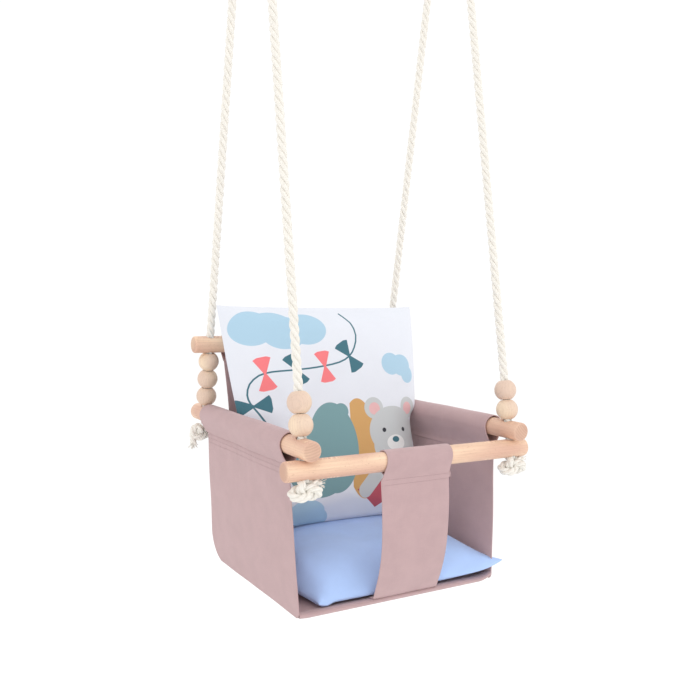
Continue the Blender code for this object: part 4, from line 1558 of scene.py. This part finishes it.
class SWING_OT_back_cushion(bpy.types.Operator):
    """Fill the printed back cushion, squeezed between the sides and full above them"""
    bl_idname = "swing.back_cushion"
    bl_label = "Back cushion"

    def execute(self, context):
        def width_at(share):
            full = 0.336 - 0.090 * (1 - share) ** 2
            free = min(1.0, max(0.0, (share - 0.44) / 0.06))
            return full * free + min(full, 0.286) * (1 - free)

        mesh = pillow_mesh(width_at, CUSHION_HEIGHT, 0.024, 0.006, 0.25, 44)

        def limits(points):
            points = points.copy()
            points[:, 2] = np.clip(points[:, 2], -0.009, 0.031)
            return points

        item = puffed(mesh, 2.5 + 2.0 * sizes().cushion_fill, 0.008, limits)
        fit_sheet(item, (BACK_SEAM_LEFT, 0.0), (BACK_SEAM_RIGHT, CUSHION_HEIGHT + 0.003))
        finer(item)
        set_vectors(item.data, "cloth", points_of(item.data))
        item.data.transform(cushion_matrix())
        item.name = "back_pillow"
        dress(item.data, print_cotton())
        settle(item, "back_cushion", "print_cotton", "back_cushion")
        return {"FINISHED"}


# ---------------------------------------------------------------- stage

# The camera's focal length, its place in metres, and its yaw, pitch and roll in degrees
LENS_MM = 41.55
CAMERA_PLACE = (-0.5943, -1.0000, -0.8070)
CAMERA_TURN = (-30.676, -3.636, 0.8045)

# Each lamp's name, place, width in metres and power in watts
LAMPS = (
    ("key_lamp", (-1.6, -2.4, 0.9), 1.6, 15.0), ("fill_lamp", (2.6, -1.6, 0.2), 2.0, 12.0),
    ("back_lamp", (0.4, 2.6, 0.8), 1.6, 9.0))
LAMP_TARGET = (0, 0, -1.0)

# The floor lies well below the hanging seat and reaches past the view
FLOOR_DROP = 0.75
FLOOR_REACH = 30.0


class SWING_OT_stage(bpy.types.Operator):
    """Set out the pale floor, the soft lamps and the camera"""
    bl_idname = "swing.stage"
    bl_label = "Stage"

    def execute(self, context):
        self.camera(context)
        self.floor()
        self.lamps(context)
        return {"FINISHED"}

    def camera(self, context):
        lens = bpy.data.cameras.new("camera")
        lens.lens = LENS_MM
        lens.sensor_width = 36.0
        lens.clip_start = 0.02
        lens.clip_end = 60.0
        yaw, pitch, roll = (math.radians(angle) for angle in CAMERA_TURN)
        forward = Vector((-math.sin(yaw) * math.cos(pitch), math.cos(yaw) * math.cos(pitch), math.sin(pitch)))
        level = forward.cross(Vector((0, 0, 1))).normalized()
        upward = level.cross(forward)
        x_axis = level * math.cos(roll) + upward * math.sin(roll)
        y_axis = upward * math.cos(roll) - level * math.sin(roll)
        item = placed("camera", lens)
        turn = Matrix((x_axis, y_axis, -forward)).transposed().to_4x4()
        item.matrix_world = Matrix.Translation(CAMERA_PLACE) @ turn
        context.scene.camera = item

    def floor(self):
        made = bpy.data.materials.new("pale_floor")
        made.use_nodes = True
        shader = made.node_tree.nodes["Principled BSDF"]
        shader.inputs["Base Color"].default_value = (0.985, 0.985, 0.985, 1.0)
        shader.inputs["Roughness"].default_value = 1.0
        shader.inputs["Specular IOR Level"].default_value = 0.0
        low = CAD_BOX[0][2] - FLOOR_DROP
        reach = FLOOR_REACH
        corners = [(-reach, -reach, low), (reach, -reach, low), (reach, reach, low), (-reach, reach, low)]
        mesh = mesh_of("floor", corners, [(0, 1, 2, 3)])
        add_object("floor", mesh, made, smooth=False)

    def lamps(self, context):
        world = bpy.data.worlds.new("studio")
        world.use_nodes = True
        background = world.node_tree.nodes["Background"]
        background.inputs["Color"].default_value = (1.0, 1.0, 1.0, 1.0)
        background.inputs["Strength"].default_value = 1.05
        context.scene.world = world
        for name, place, size, power in LAMPS:
            lamp = bpy.data.lights.new(name, "AREA")
            lamp.shape = "DISK"
            lamp.size = size
            lamp.energy = power
            item = placed(name, lamp)
            item.matrix_world = aligned(place, Vector(place) - Vector(LAMP_TARGET))
        context.scene.view_settings.view_transform = "Standard"


# ---------------------------------------------------------------- panel and run

PIECE_OPERATORS = (
    SWING_OT_stage, SWING_OT_ropes, SWING_OT_rings, SWING_OT_dowels, SWING_OT_beads,
    SWING_OT_side_panels, SWING_OT_seat_base, SWING_OT_back_panel, SWING_OT_front_strap,
    SWING_OT_seat_cushion, SWING_OT_back_cushion)


class SWING_PT_pieces(bpy.types.Panel):
    bl_idname = "SWING_PT_pieces"
    bl_label = "Bucket swing"
    bl_space_type = "VIEW_3D"
    bl_region_type = "UI"
    bl_category = "Swing"

    def draw(self, context):
        for made in PIECE_OPERATORS:
            self.layout.operator(made.bl_idname)
        for group in (context.scene.swing_sizes, context.scene.swing_colours):
            for name in group.bl_rna.properties.keys():
                if name not in ("rna_type", "name"):
                    self.layout.prop(group, name)


CLASSES = (SwingSizes, SwingColours, *PIECE_OPERATORS, SWING_PT_pieces)


def register():
    for made in CLASSES:
        bpy.utils.register_class(made)
    bpy.types.Scene.swing_sizes = bpy.props.PointerProperty(type=SwingSizes)
    bpy.types.Scene.swing_colours = bpy.props.PointerProperty(type=SwingColours)


def unregister():
    del bpy.types.Scene.swing_colours
    del bpy.types.Scene.swing_sizes
    for made in reversed(CLASSES):
        bpy.utils.unregister_class(made)


def main():
    register()
    for made in PIECE_OPERATORS:
        group, name = made.bl_idname.split(".")
        getattr(getattr(bpy.ops, group), name)()


if __name__ == "__main__":
    main()
